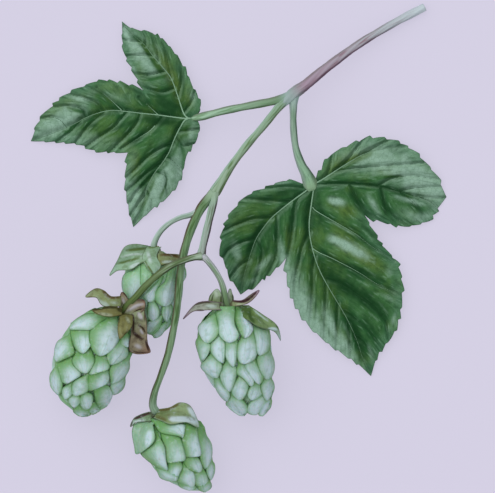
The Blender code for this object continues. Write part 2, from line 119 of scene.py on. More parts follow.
def even(points: Points, steps: int) -> Points:
    """Points spread evenly along a line, one more than the steps between them."""
    run = run_along(points)
    return along_line(points, run, np.linspace(0, run[-1], steps + 1))


def unit(vectors: Points) -> Points:
    """The same vectors at a length of one."""
    return vectors / np.maximum(np.linalg.norm(vectors, axis=-1, keepdims=True), 1e-12)


def directions(centres: Points) -> tuple[Points, Points, Points]:
    """The way ahead, level across it and up from it, at each point of a line."""
    ahead = unit(np.gradient(centres, axis=0))
    across = unit(np.cross(ahead, (0, 0, 1)))
    return ahead, across, np.cross(across, ahead)


def ease(values: Points, low: float, high: float) -> Points:
    """0 at low, 1 at high and smooth between, also where low is the larger."""
    share = np.clip((np.asarray(values, float) - low) / (high - low), 0, 1)
    return share * share * (3 - 2 * share)


def hump(values: Points, middle: float, width: float) -> Points:
    """1 at the middle, falling away on both sides of it, to a third at the width."""
    return np.exp(-(((values - middle) / width) ** 2))


def turned(corners: Points) -> float:
    """Twice the area inside a ring of (u, v), above 0 where the ring runs clockwise in the picture."""
    after = np.roll(corners, -1, axis=0)
    return float(np.sum(corners[:, 0] * after[:, 1] - after[:, 0] * corners[:, 1]))


def stretched(line: Points, more: float) -> Points:
    """A line with a straight stretch of a given length added at its end."""
    return np.vstack([line, line[-1] + unit(line[-1] - line[-2]) * more])


def ripple(places: Points, size: float, seed: float = 0.0) -> Points:
    """Smooth noise between -1 and 1 at some places, whose swells have a size in the places' own unit."""
    flat = np.column_stack([places, np.full(len(places), seed)])[:, :3] / size
    return np.array([noise.noise(Vector(row)) for row in flat])


def nearest_line(places: Points, lines: list[Points]) -> Points:
    """Where each place lies beside the nearest of some lines.

    Args:
        places: rows of (u, v).
        lines: rows of (u, v) for each line.

    Returns:
        A row for each place: its distance from the line, the line's own length up to there, and
        how far the way from the line to the place runs down and to the right in the picture,
        from -1 to 1.
    """
    starts = np.vstack([line[:-1, :2] for line in lines])
    spans = np.vstack([np.diff(line[:, :2], axis=0) for line in lines])
    runs = np.concatenate([run_along(line[:, :2])[:-1] for line in lines])
    lengths = np.maximum(np.linalg.norm(spans, axis=1), 1e-6)
    chunk_rows = 800  # so that the table of gaps stays small
    found = []
    for chunk in np.array_split(places, max(1, len(places) // chunk_rows)):
        gaps = chunk[:, None] - starts[None]
        share = np.clip((gaps * spans).sum(axis=2) / lengths**2, 0, 1)
        gaps = gaps - share[..., None] * spans
        far = np.linalg.norm(gaps, axis=2)
        best = far.argmin(axis=1)
        row = np.arange(len(chunk))
        far, run = far[row, best], runs[best] + share[row, best] * lengths[best]
        facing = gaps[row, best] @ LOWER_RIGHT_PX / np.maximum(far, 1e-6)
        found.append(np.column_stack([far, run, facing]))
    return np.vstack(found)


def from_ring(places: Points, ring: Points) -> Points:
    """How far each place is from a closed ring of (u, v), in px."""
    return nearest_line(places, [np.vstack([ring, ring[:1]])])[:, 0]


# ---------------------------------------------------------------- meshes


def grid_faces(rows: int, columns: int, closed: bool = False) -> Points:
    """The four-sided faces of a grid of points, row by row.

    Args:
        rows: rows of points.
        columns: points in each row.
        closed: whether the last column joins the first.

    Returns:
        Four point numbers for each face.
    """
    row, column = np.meshgrid(np.arange(rows - 1), np.arange(columns - (not closed)), indexing="ij")
    low, after = row * columns + column, row * columns + (column + 1) % columns
    return np.stack([low, after, after + columns, low + columns], axis=-1).reshape(-1, 4)


@dataclass
class Skin:
    """Points, faces and painted values, gathered from many surfaces into one mesh."""

    points: list[Points] = field(default_factory=list)
    faces: list[list[int]] = field(default_factory=list)
    paint: dict[str, list[Points]] = field(default_factory=dict)
    count: int = 0

    def add(self, points: Points, faces: Points, **paint: Points) -> None:
        """Adds one surface.

        Args:
            points: its points, in metres.
            faces: point numbers of each face, counted from this surface's own first point.
            paint: values for each point, by name. Every surface of a skin has the same names.
        """
        self.points.append(points)
        self.faces += (np.asarray(faces) + self.count).tolist()
        for name, values in paint.items():
            full = np.broadcast_to(np.asarray(values, np.float32), (len(points),))
            self.paint.setdefault(name, []).append(full)
        self.count += len(points)

    def add_tube(self, rings: Points, **paint: Points) -> None:
        """Adds a tube that is closed by a flat face at both ends.

        Args:
            rings: a row of points, in metres, for each ring.
            paint: values for each point, by name.
        """
        first, sides = self.count, rings.shape[1]
        self.add(rings.reshape(-1, 3), grid_faces(*rings.shape[:2], closed=True), **paint)
        self.faces.append(list(range(first, first + sides))[::-1])
        self.faces.append(list(range(self.count - sides, self.count)))

    def build(self, name: str, coats: list[bpy.types.Material], shell: float = 0.0) -> bpy.types.Object:
        """Makes the object.

        Args:
            name: its name.
            coats: its materials. The second one, if any, is for the inner side of a shell.
            shell: thickness in metres that an open surface is given, away from its outer side.

        Returns:
            The new object, riding on the part's body.
        """
        mesh = bpy.data.meshes.new(name)
        mesh.from_pydata(np.vstack(self.points).tolist(), [], self.faces)
        for label, values in self.paint.items():
            layer = mesh.attributes.new(label, "FLOAT", "POINT")
            layer.data.foreach_set("value", np.concatenate(values))
        mesh.shade_smooth()
        made = bpy.data.objects.new(name, mesh)
        bpy.context.scene.collection.objects.link(made)
        for coat in coats:
            mesh.materials.append(coat)
        if shell:
            thick = made.modifiers.new("thickness", "SOLIDIFY")
            thick.thickness = shell
            thick.offset = -1
            thick.material_offset = len(coats) - 1
        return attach(made, BODY)


# ---------------------------------------------------------------- finishes


def linear(colour: str) -> tuple[float, float, float, float]:
    """The linear colour of an sRGB hex value such as "#5a7d4f"."""
    shares = [int(colour[k : k + 2], 16) / 255 for k in (1, 3, 5)]
    return (*(s / 12.92 if s <= 0.04045 else ((s + 0.055) / 1.055) ** 2.4 for s in shares), 1.0)


def add(tree: Tree, kind: str, inputs: dict | None = None, out: int | str = 0, **settings) -> Socket:
    """Adds one shader node with its settings and links.

    Args:
        tree: the material's nodes.
        kind: the node's type.
        inputs: for each socket's name or number, a value, a hex colour or a socket to link.
        out: which output is wanted.
        settings: properties of the node.

    Returns:
        The wanted output.
    """
    node = tree.nodes.new(kind)
    for name, value in settings.items():
        setattr(node, name, value)
    for name, value in (inputs or {}).items():
        socket = node.inputs[name]
        if isinstance(value, bpy.types.NodeSocket):
            tree.links.new(value, socket)
        else:
            socket.default_value = linear(value) if isinstance(value, str) else value
    return node.outputs[out]


@dataclass(frozen=True)
class Pattern:
    """A pattern in a skin, which coats read by its name and which may raise the skin.

    It lies in space, or over values painted on the mesh.
    """

    name: str
    size: tuple[float, float, float]  # of one swell, in mm, or in the units of the values
    over: tuple[str, ...] = ()  # the painted values that it lies over
    cells: bool = False  # a network of cells in place of soft clouds
    detail: float = 2.0
    bump_mm: float = 0.0

    def draw(self, tree: Tree) -> Socket:
        """Adds the pattern's nodes.

        Args:
            tree: the material's nodes.

        Returns:
            The pattern's value, from 0 to 1.
        """
        if self.over:
            axes = {
                axis: add(tree, "ShaderNodeAttribute", out="Fac", attribute_name=name)
                for axis, name in zip("XYZ", self.over)
            }
            place = add(tree, "ShaderNodeCombineXYZ", axes)
            scale = tuple(1 / size for size in self.size)
        else:
            place = add(tree, "ShaderNodeTexCoord", out="Object")
            scale = tuple(1 / (size * MM) for size in self.size)
        placed = add(tree, "ShaderNodeMapping", {"Vector": place, "Scale": scale})
        if self.cells:
            inputs = {"Vector": placed, "Scale": 1.0, "Randomness": 0.85}
            return add(tree, "ShaderNodeTexVoronoi", inputs, feature="DISTANCE_TO_EDGE")
        return add(tree, "ShaderNodeTexNoise", {"Vector": placed, "Scale": 1.0, "Detail": self.detail})


@dataclass(frozen=True)
class Coat:
    """A colour over those below it, from where a value is at low to where it is at high."""

    value: str  # one painted on the mesh, or a pattern of the finish
    low: float
    high: float
    colour: str
    share: float = 1.0


UNLIT = "#000000"  # gives off no light
SCATTER_MM = 0.6  # how far light wanders in a thin, wet tissue
BUMP_SHARE = 0.5  # how much of a pattern's height shows, so that its slopes stay soft


@dataclass(frozen=True)
class Finish:
    """A surface: its own colour, the coats over it and the patterns in it."""

    name: str
    ground: str
    coats: tuple[Coat, ...] = ()
    patterns: tuple[Pattern, ...] = ()
    roughness: float = 0.6
    ior: float = 1.42  # of a leaf's wax and cell walls
    gloss: float = 0.2  # low, because the wax on the skin is a dull bloom
    scatter: float = 0.0  # how much light goes through the thin tissue
    glow: str = UNLIT  # the light that it gives off

    def material(self) -> bpy.types.Material:
        """The finish as a material, made once."""
        if self.name in bpy.data.materials:
            return bpy.data.materials[self.name]
        made = bpy.data.materials.new(self.name)
        made.use_nodes = True
        tree = made.node_tree
        shader = tree.nodes["Principled BSDF"]
        shader.inputs["Roughness"].default_value = self.roughness
        shader.inputs["IOR"].default_value = self.ior
        shader.inputs["Specular IOR Level"].default_value = self.gloss
        shader.inputs["Subsurface Weight"].default_value = self.scatter
        shader.inputs["Subsurface Scale"].default_value = SCATTER_MM * MM
        shader.inputs["Base Color"].default_value = linear(self.ground)
        shader.inputs["Emission Color"].default_value = linear(self.glow)
        shader.inputs["Emission Strength"].default_value = float(self.glow != UNLIT)
        values = {pattern.name: pattern.draw(tree) for pattern in self.patterns}
        colour = self.ground
        for coat in self.coats:
            if coat.value not in values:
                values[coat.value] = add(
                    tree, "ShaderNodeAttribute", out="Fac", attribute_name=coat.value
                )
            bounds = {
                "Value": values[coat.value], "From Min": coat.low, "From Max": coat.high,
                "To Max": coat.share,
            }
            share = add(tree, "ShaderNodeMapRange", bounds, interpolation_type="SMOOTHSTEP")
            colour = add(
                tree, "ShaderNodeMix", {0: share, 6: colour, 7: coat.colour}, out=2, data_type="RGBA"
            )
        if self.coats:
            tree.links.new(colour, shader.inputs["Base Color"])
        raised = None
        for pattern in self.patterns:
            if pattern.bump_mm:
                inputs = {
                    "Height": values[pattern.name], "Strength": BUMP_SHARE,
                    "Distance": pattern.bump_mm * MM,
                }
                if raised:
                    inputs["Normal"] = raised
                raised = add(tree, "ShaderNodeBump", inputs)
        if raised:
            tree.links.new(raised, shader.inputs["Normal"])
        return made


@dataclass(frozen=True)
class StalkSkin:
    """The skin of a ridged stalk: its colours along it, and at its two edges as seen from above, which carry
    painted light and shade for its rounding along with its own tints.
    """

    name: str
    start: str  # where its route starts
    end: str
    left: str  # at its left or upper edge: painted light and shade of its rounding, with its own tint
    right: str  # at its right or lower edge: painted light and shade of its rounding, with its own tint
    middle: str  # of the streaks down its middle
    left_share: float = 0.8
    right_share: float = 0.8
    more: tuple[Coat, ...] = ()

    def finish(self) -> Finish:
        """The skin as a finish.

        Returns:
            A finish whose streaks are under a millimetre wide and much longer, as its fibres are.
        """
        coats = (
            Coat("along", 0.0, 1.0, self.end),
            Coat("streaks", 0.48, 0.64, self.middle, 0.85),
            Coat("groove", 0.3, 1.0, self.middle, 0.25),
            # painted light and shade along the two edges, with the stalk's own tints
            Coat("side", -0.4, -0.85, self.left, self.left_share),
            Coat("side", 0.4, 0.85, self.right, self.right_share),
            *self.more,
        )
        streaks = Pattern("streaks", (0.7, 0.7, 9.0), over=("aside", "aloft", "run"), bump_mm=0.12)
        return Finish(self.name, self.start, coats, (streaks,))


NODE_GREEN = "#93ada5"  # the waxy skin of the node, which runs a little way onto each stalk

# Ridged stems are waxy, so they look dull and streaked along their fibres, with purple where
# the sun has reached them, and painted light and shade along their edges for their rounding.
BINE_SKIN = StalkSkin(
    "ridged_bine_skin", start="#a8b5b6", end="#9d8797", left="#77706f", right="#553c4b",
    middle="#856873", left_share=0.75, right_share=0.9,
    more=(
        Coat("along", 0.4, 0.0, "#bac8cb", 0.85),
        Coat("along", 0.82, 0.95, NODE_GREEN, 0.85),
    ),
)
LEFT_PETIOLE_SKIN = StalkSkin(
    "left_petiole_skin", start="#6c8669", end="#9dbfa2", left="#65735d", right="#46603c",
    middle="#6c9069", left_share=0.8, right_share=0.85,
    # its end is painted dark green, like the painted shade of the blade's hub that it sinks into
    more=(Coat("along", 0.2, 0.08, NODE_GREEN, 0.8), Coat("along", 0.94, 0.97, "#4a754c", 0.8)),
)
RIGHT_PETIOLE_SKIN = StalkSkin(
    "right_petiole_skin", start="#97a69b", end="#84ab8a", left="#84938d", right="#435b47",
    middle="#6c8e72", left_share=0.75, right_share=0.9,
    more=(Coat("along", 0.24, 0.1, NODE_GREEN, 0.7), Coat("along", 0.86, 0.97, "#9cba90", 0.5)),
)
FLOWER_STALK_SKIN = StalkSkin(
    "flower_stalk_skin", start="#86a388", end="#90a88e", left="#93af9c", right="#566748",
    middle="#557542", left_share=0.8, right_share=0.8,
    more=(Coat("along", 0.16, 0.06, NODE_GREEN, 0.8),),
)
BOTTOM_STALK_SKIN = StalkSkin(
    "bottom_stalk_skin", start="#68885f", end="#7c9876", left="#544f3a", right="#789276",
    middle="#3c5d2b", left_share=0.9, right_share=0.7,
    more=(
        Coat("along", 0.07, 0.01, "#8fa98e", 0.9),
        Coat("along", 0.9, 0.97, "#92ad9c", 0.45),
        Coat("side", -0.82, -0.98, "#4a3a30", 0.6),
    ),
)
PAIR_STALK_SKIN = StalkSkin(
    "sunned_stalk_skin", start="#93ad99", end="#94a298", left="#93ae9c", right="#46383e",
    middle="#66755f", right_share=0.95, more=(Coat("along", 0.22, 0.02, "#8fa98e", 0.9),),
)
LEFT_CONE_STALK_SKIN = StalkSkin(
    "left_cone_stalk_skin", start="#9bb09a", end="#647840", left="#474b2a", right="#2f381b",
    middle="#4a6330", left_share=0.85, right_share=0.92,
    more=(Coat("along", 0.36, 0.5, "#4f6533", 0.6),),
)
RIGHT_CONE_STALK_SKIN = StalkSkin(
    "right_cone_stalk_skin", start="#bcbec4", end="#7c9c72", left="#747c74", right="#929f98",
    middle="#6b8a64", left_share=0.8, right_share=0.6,
    more=(Coat("along", 0.55, 0.8, "#577547", 0.65),),
)
BACK_CONE_STALK_SKIN = StalkSkin(
    "back_cone_stalk_skin", start="#a3b4aa", end="#9fb8a6", left="#aebfbb", right="#56705a",
    middle="#7d9984", left_share=0.7, right_share=0.8,
)

# A hop leaf is rough and matt. Its upper side is painted deep green as shade in the valleys of its
# veins and on the far side of each side vein from the light, and pale bluish as highlights where it
# swells. Its finest veins are a millimetre and a half apart.
LEAF_PATTERNS = (
    Pattern("cells", (1.5, 1.5, 1.5), cells=True, bump_mm=0.12),
    Pattern("clouds", (11.0, 11.0, 11.0), detail=3.0),
    Pattern("mottle", (4.0, 4.0, 4.0), detail=4.0),
    Pattern("strokes", (0.45, 5.0, 1.0), over=("off", "run"), detail=3.0, bump_mm=0.1),
)
LEAF_TOP = Finish(
    "leaf_upper_skin", "#1b4522",
    coats=(
        # painted shade in the valleys, and painted light on the swells between veins
        Coat("rise", 0.02, 0.6, "#2b5a30"),
        Coat("rise", 0.5, 1.0, "#426f3e", 0.55),
        # painted shade beside the main veins
        Coat("main", 4.0, 0.3, "#1b4723", 0.5),
        Coat("clouds", 0.46, 0.64, "#56732d", 0.35),
        Coat("sun", 0.0, 1.0, "#5a7230", 0.7),
        Coat("mottle", 0.52, 0.34, "#1b4121", 0.35),
        Coat("mottle", 0.55, 0.75, "#5f8a64", 0.25),
        Coat("rim", 5.0, 0.3, "#5f8b6e", 0.35),
        # painted highlights and painted shade from the washes, and painted light and shade on the two sides
        # of each side vein
        Coat("glow", 0.0, 1.0, "#8fb09b", 0.9),
        Coat("fold_shading", 0.1, 1.0, "#86aa8a", 0.35),
        Coat("strokes", 0.53, 0.74, "#8db296", 0.4),
        Coat("glow", 0.0, -0.9, "#123a19", 0.85),
        Coat("fold_shading", -0.1, -0.9, "#12361a", 0.6),
        Coat("strokes", 0.48, 0.28, "#12381a", 0.55),
        Coat("glow", 0.3, 1.0, "#8fb09b", 0.5),
        Coat("cells", 0.08, 0.0, "#1f4a27", 0.25),
        Coat("rim", 0.24, 0.05, "#28502f", 0.5),
    ),
    patterns=LEAF_PATTERNS, gloss=0.1,
)
LEAF_UNDER = Finish(
    "leaf_under_skin", "#6f9470",
    coats=(
        # paler on the swells and darker in the valleys, painted light and shade as on the upper side
        Coat("rise", 0.02, 0.6, "#82a583"),
        Coat("rise", 0.5, 1.0, "#90b092", 0.6),
        Coat("clouds", 0.45, 0.7, "#7e9c6a", 0.4),
        Coat("cells", 0.1, 0.0, "#688c68", 0.4),
        Coat("rim", 0.3, 0.05, "#648464", 0.6),
    ),
    patterns=LEAF_PATTERNS, roughness=0.8,
)
VEIN = Finish("leaf_vein", "#17401e", coats=(Coat("pale", 0.0, 1.0, "#86aa8c"),))

# A ripe cone's scale is thin, papery and finely veined, and light goes into it, so it looks soft.
# Its colours carry painted light and shade: a pale bluish highlight on its swell, green shade at its
# root where other scales cover it and on its side away from the light, and dark lines of shade at its edges.
SCALE_VEINS = Pattern("veins", (0.12, 0.9, 0.02), over=("across", "along", "tone"), bump_mm=0.08)
SCALE_OUTER = Finish(
    "cone_scale_papery", "#8fb396",
    coats=(
        Coat("tone", 0.35, 1.0, "#7fa880", 0.6),
        # painted shade on the side away from the light and at the covered root, the green of covered scales,
        # and a painted highlight on the swell
        Coat("shade", 0.1, 0.8, "#6c9a5c", 0.9),
        Coat("along", 0.62, 0.22, "#659950", 0.9),
        Coat("green", 0.0, 1.0, "#7ab070", 0.9),
        Coat("pale", 0.02, 0.86, "#bdd2d6", 0.95),
        Coat("mottle", 0.5, 0.34, "#6b9a74", 0.28),
        Coat("mottle", 0.53, 0.7, "#c9d6df", 0.22),
        Coat("veins", 0.52, 0.72, "#6c9b74", 0.34),
        # dark painted lines of shade along the edges
        Coat("line", 0.0, 0.9, "#427438", 0.86),
    ),
    patterns=(SCALE_VEINS, Pattern("mottle", (1.7, 1.7, 1.7), detail=4.0, bump_mm=0.12)), scatter=0.1,
)
SCALE_INNER = Finish(
    "cone_scale_inner_side", "#9cc298",
    coats=(
        Coat("along", 0.6, 0.0, "#6c9c5c", 0.8),
        Coat("veins", 0.5, 0.75, "#86b48c", 0.3),
        Coat("rim", 0.4, 0.05, "#6a9c68", 0.6),
    ),
    patterns=(SCALE_VEINS,), roughness=0.7, scatter=0.1,
)

# The table is matt opal glass with a faint light under it, so shadows on it stay pale.
TABLE_TOP = Finish(
    "opal_table", "#706d77", patterns=(Pattern("tooth", (0.8, 0.8, 0.8), bump_mm=0.02),),
    roughness=0.95, glow="#bbb7c8",
)


@dataclass(frozen=True)
class BractSkin:
    """The skin of a leafy bract: thin and drying, so that its rim darkens first; its folds carry painted
    shade.
    """

    name: str
    root: str
    body: str
    tip: str
    rim: str
    fold_shading: str  # painted shade in its folds; its veins and darker blots take this colour too
    light: str  # where it swells towards the light

    def finish(self) -> Finish:
        """The skin as a finish, with veins that run along the bract."""
        coats = (
            Coat("along", 0.05, 0.5, self.body),
            Coat("along", 0.6, 0.98, self.tip),
            Coat("veins", 0.5, 0.75, self.fold_shading, 0.2),
            # painted light and painted shade from the washes
            Coat("glow", 0.05, 0.9, self.light, 0.85),
            Coat("glow", -0.05, -0.9, self.fold_shading, 0.95),
            Coat("blots", 0.48, 0.32, self.fold_shading, 0.4),
            Coat("blots", 0.55, 0.72, self.light, 0.3),
            Coat("rim", 0.34, 0.05, self.rim, 0.8),
        )
        veins = Pattern("veins", (0.18, 0.9, 1.0), over=("across", "along"), bump_mm=0.15)
        blots = Pattern("blots", (1.8, 1.8, 1.8), detail=4.0, bump_mm=0.1)
        return Finish(self.name, self.root, coats, (veins, blots), roughness=0.65)


class BractLook(Enum):
    """The states that the leafy bracts are in, from fresh to drying."""

    FRESH = BractSkin("bract_fresh", "#82a080", "#8bac8e", "#96b5a0", "#64785a", "#566c36", "#b4c6c0")
    PALE = BractSkin("bract_pale", "#7b8c5e", "#8fa384", "#9daf9c", "#5f6b58", "#434f2b", "#aabaa6")
    OLIVE = BractSkin("bract_olive", "#7d8b5c", "#828f62", "#92a07c", "#5b5a3a", "#54401f", "#aabdb0")
    BROWN = BractSkin("bract_browned", "#6a6a3c", "#77784a", "#706c44", "#44421f", "#38381b", "#98a286")
    FLUSHED = BractSkin("bract_flushed", "#848f6c", "#878066", "#856b5a", "#4b3731", "#38241b", "#aeacb0")
    MAUVE = BractSkin("bract_mauve", "#87967a", "#8f9688", "#8f7a88", "#624f58", "#46432f", "#a9bab0")
    PURPLE = BractSkin("bract_purple", "#86956a", "#8a8a72", "#ad98aa", "#5a3e48", "#401f28", "#a3b394")
    CAPPED = BractSkin("bract_cap", "#6d8050", "#859a70", "#a2b9a8", "#7b9076", "#5c572e", "#bfd0d5")
    HEMMED = BractSkin("bract_hemmed", "#7d9a74", "#93ae97", "#b0c5be", "#5a6652", "#45272a", "#bccdca")
    HOOKED = BractSkin("bract_hooked", "#5f7a42", "#7a9464", "#a5bdb8", "#5c7054", "#3a5626", "#bbd1d2")


# ---------------------------------------------------------------- stalks


@dataclass
class Stalk:
    """A ridged, slightly twisted stalk along its route.

    The route's rows are (u, v, height in mm, radius in mm), the same as in the part's source.
    """

    node: str
    route: list[tuple[float, float, float, float]]
    skin: StalkSkin
    slot: str = "stalk"
    ridges: int = 6
    ridge: float = 0.06  # how far a ridge stands out, as a share of the radius
    twist_mm: float = 60.0  # length of one turn of the ridges
    sides: int = 30
    step_px: float = 1.4
    flare: float = 0.35  # how much wider it starts, where it grows from another stalk
    flare_mm: float = 1.6
    waver: float = 0.06  # how uneven its radius is
    waver_mm: float = 7.0  # the size of one swell of that
    dome: float = 0.97  # how much of a half ball rounds its end

    def build(self) -> bpy.types.Object:
        """Makes the stalk, in place of its CAD node."""
        smooth = through(self.route)
        line = even(smooth, round(run_along(smooth)[-1] / self.step_px))
        centres = on_table(line)
        _, across, up = directions(centres)
        run = run_along(centres) / MM
        turn = np.linspace(0, 2 * math.pi, self.sides, endpoint=False)
        phase = self.ridges * (turn[None] + 2 * math.pi * run[:, None] / self.twist_mm)
        radius = line[:, 3] * (1 + self.flare * hump(run, 0, self.flare_mm))
        radius = radius * np.sqrt(1 - np.clip((run - run[-1]) / radius[-1] + 1, 0, self.dome) ** 2)
        uneven = ripple(np.column_stack([run, run * 0]), self.waver_mm, len(self.node))
        radius = radius * (1 + self.waver * uneven)
        reach = radius[:, None] * (1 + self.ridge * np.cos(phase)) * MM
        sideways = across[:, None] * np.sin(turn)[None, :, None] + up[:, None] * np.cos(turn)[None, :, None]
        rings = centres[:, None] + sideways * reach[..., None]
        rings[..., 2] = np.maximum(rings[..., 2], CLEAR_MM * MM)
        # which edge lies towards the lower right, for the painted light and shade of the two edges
        way = np.sign(across.mean(axis=0) @ LOWER_RIGHT)
        skin = Skin()
        skin.add_tube(
            rings,
            along=np.repeat(np.linspace(0, 1, len(line)), self.sides),
            run=np.repeat(run, self.sides),
            aside=(np.sin(turn)[None] * radius[:, None]).reshape(-1),
            aloft=(np.cos(turn)[None] * radius[:, None]).reshape(-1),
            groove=((1 - np.cos(phase)) / 2).reshape(-1),
            side=np.tile(np.sin(turn) * way, len(line)),
        )
        made = skin.build(f"{self.node}_skin", [self.skin.finish().material()])
        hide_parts(self.node)
        return made


STALKS = [
    Stalk("bine_stem", [
        (425, 6.5, 1.4, 1.4), (394.5, 22.5, 2.2, 1.35), (359.5, 43.5, 4, 1.35),
        (328, 66.5, 6.4, 1.6), (306, 84.5, 8.2, 1.8), (297, 91, 8.8, 1.95),
        (291, 96, 9.1, 2), (286, 100.3, 9.2, 1.7), (281.5, 104.5, 9.3, 1.2),
    ], BINE_SKIN, "bine", ridge=0.08, flare=0),
    Stalk("left_leaf_petiole", [
        (296, 91.5, 8.2, 1.3), (289, 96.3, 8.8, 1.6), (275, 100.8, 9, 1.45),
        (248, 106, 8.3, 1.3), (224, 110.8, 7.2, 1.3), (206, 115.4, 6.2, 1.35),
        (198.5, 117.2, 5.7, 1.2), (193, 118.2, 4.7, 0.9), (188, 118.2, 3.8, 0.5),
    ], LEFT_PETIOLE_SKIN),
    Stalk("right_leaf_petiole", [
        (296.5, 91, 8.2, 1.3), (293.8, 99.5, 8.8, 1.5), (293.3, 108, 9, 1.25),
        (293.4, 127, 8.6, 1.15), (295.6, 147, 8, 1.2), (300.8, 163.5, 7.3, 1.5),
        (306, 173.5, 6.8, 2.1), (309, 180, 6.2, 2.4), (310.6, 184.5, 5.2, 2.5),
        (311.6, 188, 3.3, 2.2),
    ], RIGHT_PETIOLE_SKIN),
    Stalk("flower_stalk", [
        (295, 93, 8.3, 1.3), (287.5, 99.5, 9, 1.5), (279.7, 106, 9.4, 1.45),
        (264, 125.5, 10.2, 1.3), (248, 144, 11.3, 1.3), (232, 165, 12.7, 1.35),
        (220, 184, 14, 1.8), (212.5, 196, 14.8, 2.1),
    ], FLOWER_STALK_SKIN),
    Stalk("bottom_cone_stalk", [
        (214, 193, 14.6, 1.4), (207, 200.5, 14.8, 1.6), (199.5, 211, 15, 1.6),
        (191.6, 228, 15.5, 1.5), (185.7, 246, 16.3, 1.4), (181.5, 265, 17.4, 1.35),
        (178.8, 290, 19, 1.3), (176.7, 312, 18.8, 1.25), (172.7, 334, 17.4, 1.25),
        (167.7, 355.6, 15.6, 1.2), (160.7, 376, 13.9, 1.15), (154.8, 392, 12.9, 1.15),
        (153, 405, 12.4, 1.4), (157.5, 414.5, 12.1, 1.7),
    ], BOTTOM_STALK_SKIN),
    Stalk("cone_pair_stalk", [
        (214.5, 193, 15.1, 1.2), (214, 201, 15.6, 1.25), (211, 213, 16.3, 1.3),
        (207, 230, 17.4, 1.3), (203.2, 246, 18.6, 1.3), (201, 257.5, 19.5, 1.7),
    ], PAIR_STALK_SKIN),
    Stalk("left_cone_stalk", [
        (201.5, 256, 19.5, 1.2), (192.4, 257.7, 20.2, 1.1), (183.2, 260.5, 21, 1.1),
        (173.9, 264.2, 21.8, 1.15), (164.7, 269.7, 22.5, 1.15), (155.5, 277, 22.8, 1.15),
        (146.2, 285.6, 22.3, 1.15), (137, 295.8, 21, 1.15), (128.5, 304.5, 19.2, 1.2),
        (120.5, 314.5, 17.4, 1.3),
    ], LEFT_CONE_STALK_SKIN),
    Stalk("right_cone_stalk", [
        (201.5, 256, 19.4, 1.1), (206.5, 259.5, 19.3, 1), (214.6, 269.7, 18.6, 1),
        (221, 281, 17.8, 1), (224.2, 292, 17, 1.05), (225.8, 302, 16.3, 1.2),
        (228, 311, 15.8, 1.4),
    ], RIGHT_CONE_STALK_SKIN),
    Stalk("back_cone_stalk", [
        (199, 211.5, 15, 1), (190.6, 215, 15, 0.95), (181.3, 217.3, 14.7, 0.9),
        (172.1, 221.6, 14.1, 0.9), (164.7, 227.2, 13.3, 0.9), (159.1, 233.6, 12.4, 0.95),
        (154.8, 242, 11.4, 1.1), (153.3, 251, 10.6, 1.3),
    ], BACK_CONE_STALK_SKIN),
]


# ---------------------------------------------------------------- leaves


# A saw tooth's outline, as shares of its length and of its height: it leans towards the lobe's tip.
TOOTH = ((0.0, 0.0), (0.25, 0.35), (0.5, 0.65), (0.7, 0.88), (0.82, 1.0), (0.92, 0.5))
TOOTH_SHIFT = 0.3  # how far a tooth's start strays, as a share of a tooth
TOOTH_HEIGHTS = (0.4, 1.5)  # the lowest and the highest tooth, as shares of the usual height


@dataclass
class Margin:
    """A stretch of a leaf's edge between a notch and a lobe's tip, with its saw teeth."""

    points: list[tuple[float, float]]
    teeth: int
    to_tip: bool  # whether the points run towards the tip

    def toothed(self, depth: float, outward: int, dice: np.random.Generator) -> Points:
        """The edge with its teeth, which are uneven and lean towards the lobe's tip.

        Args:
            depth: the usual height of a tooth, in px.
            outward: which side is out, 1 or -1, for points that run as given.
            dice: where the unevenness comes from.

        Returns:
            Rows of (u, v), in the order that the margin was given in.
        """
        smooth = through(self.points)
        if not self.to_tip:
            smooth, outward = smooth[::-1], -outward
        run = run_along(smooth)
        step = run[-1] / self.teeth
        notches = np.arange(self.teeth + 1) * step
        notches[1:-1] += dice.uniform(-TOOTH_SHIFT, TOOTH_SHIFT, self.teeth - 1) * step
        just_on = 0.5  # px, to see which way the edge runs
        found = []
        for low, high in zip(notches, notches[1:]):
            tall = depth * dice.uniform(*TOOTH_HEIGHTS)
            last = high > run[-1] - 0.5 * step  # the last one is the lobe's own tip
            for share, rise in TOOTH:
                start = low + (high - low) * share
                here = along_line(smooth, run, start)
                way = unit(along_line(smooth, run, start + just_on) - here)
                side = np.array([-way[1], way[0]]) * outward
                found.append(here + side * (0.0 if last else tall * rise))
        found.append(smooth[-1])
        return np.array(found if self.to_tip else found[::-1])


@dataclass(frozen=True)
class Wash:
    """A soft stroke on a leaf or a bract: of painted light or painted shade where it swells or sinks, or, on
    a leaf, of olive where the sun has turned it.
    """

    points: list[tuple[float, float]]
    half_width: float  # in px
    strength: float  # above 0 for light, below 0 for dark


def washed(places: Points, washes: list[Wash]) -> Points:
    """How light or dark some washes make each place.

    Args:
        places: rows of (u, v).
        washes: the strokes, which fade towards their sides and their ends.

    Returns:
        Values from -1, in the shade, to 1, in the light.
    """
    fade, reach = 1.2, 2.4  # how fast a stroke fades sideways, and how far it goes, in half widths
    light, dark = np.zeros(len(places)), np.zeros(len(places))
    for wash in washes:
        smooth = through(wash.points)
        line = even(smooth, max(6, round(2 * run_along(smooth)[-1] / wash.half_width)))
        ends = np.sin(math.pi * np.linspace(0.14, 0.86, len(line))) ** 0.7
        low, high = line.min(axis=0) - reach * wash.half_width, line.max(axis=0) + reach * wash.half_width
        near = np.flatnonzero(np.all((places > low) & (places < high), axis=1))
        cover = np.zeros(len(near))
        for place, weight in zip(line, ends):
            gap = ((places[near] - place) ** 2).sum(axis=1) / wash.half_width**2
            cover = np.maximum(cover, weight * np.exp(-fade * gap))
        layer = light if wash.strength > 0 else dark
        layer[near] = np.maximum(layer[near], cover * abs(wash.strength))
    return light - dark


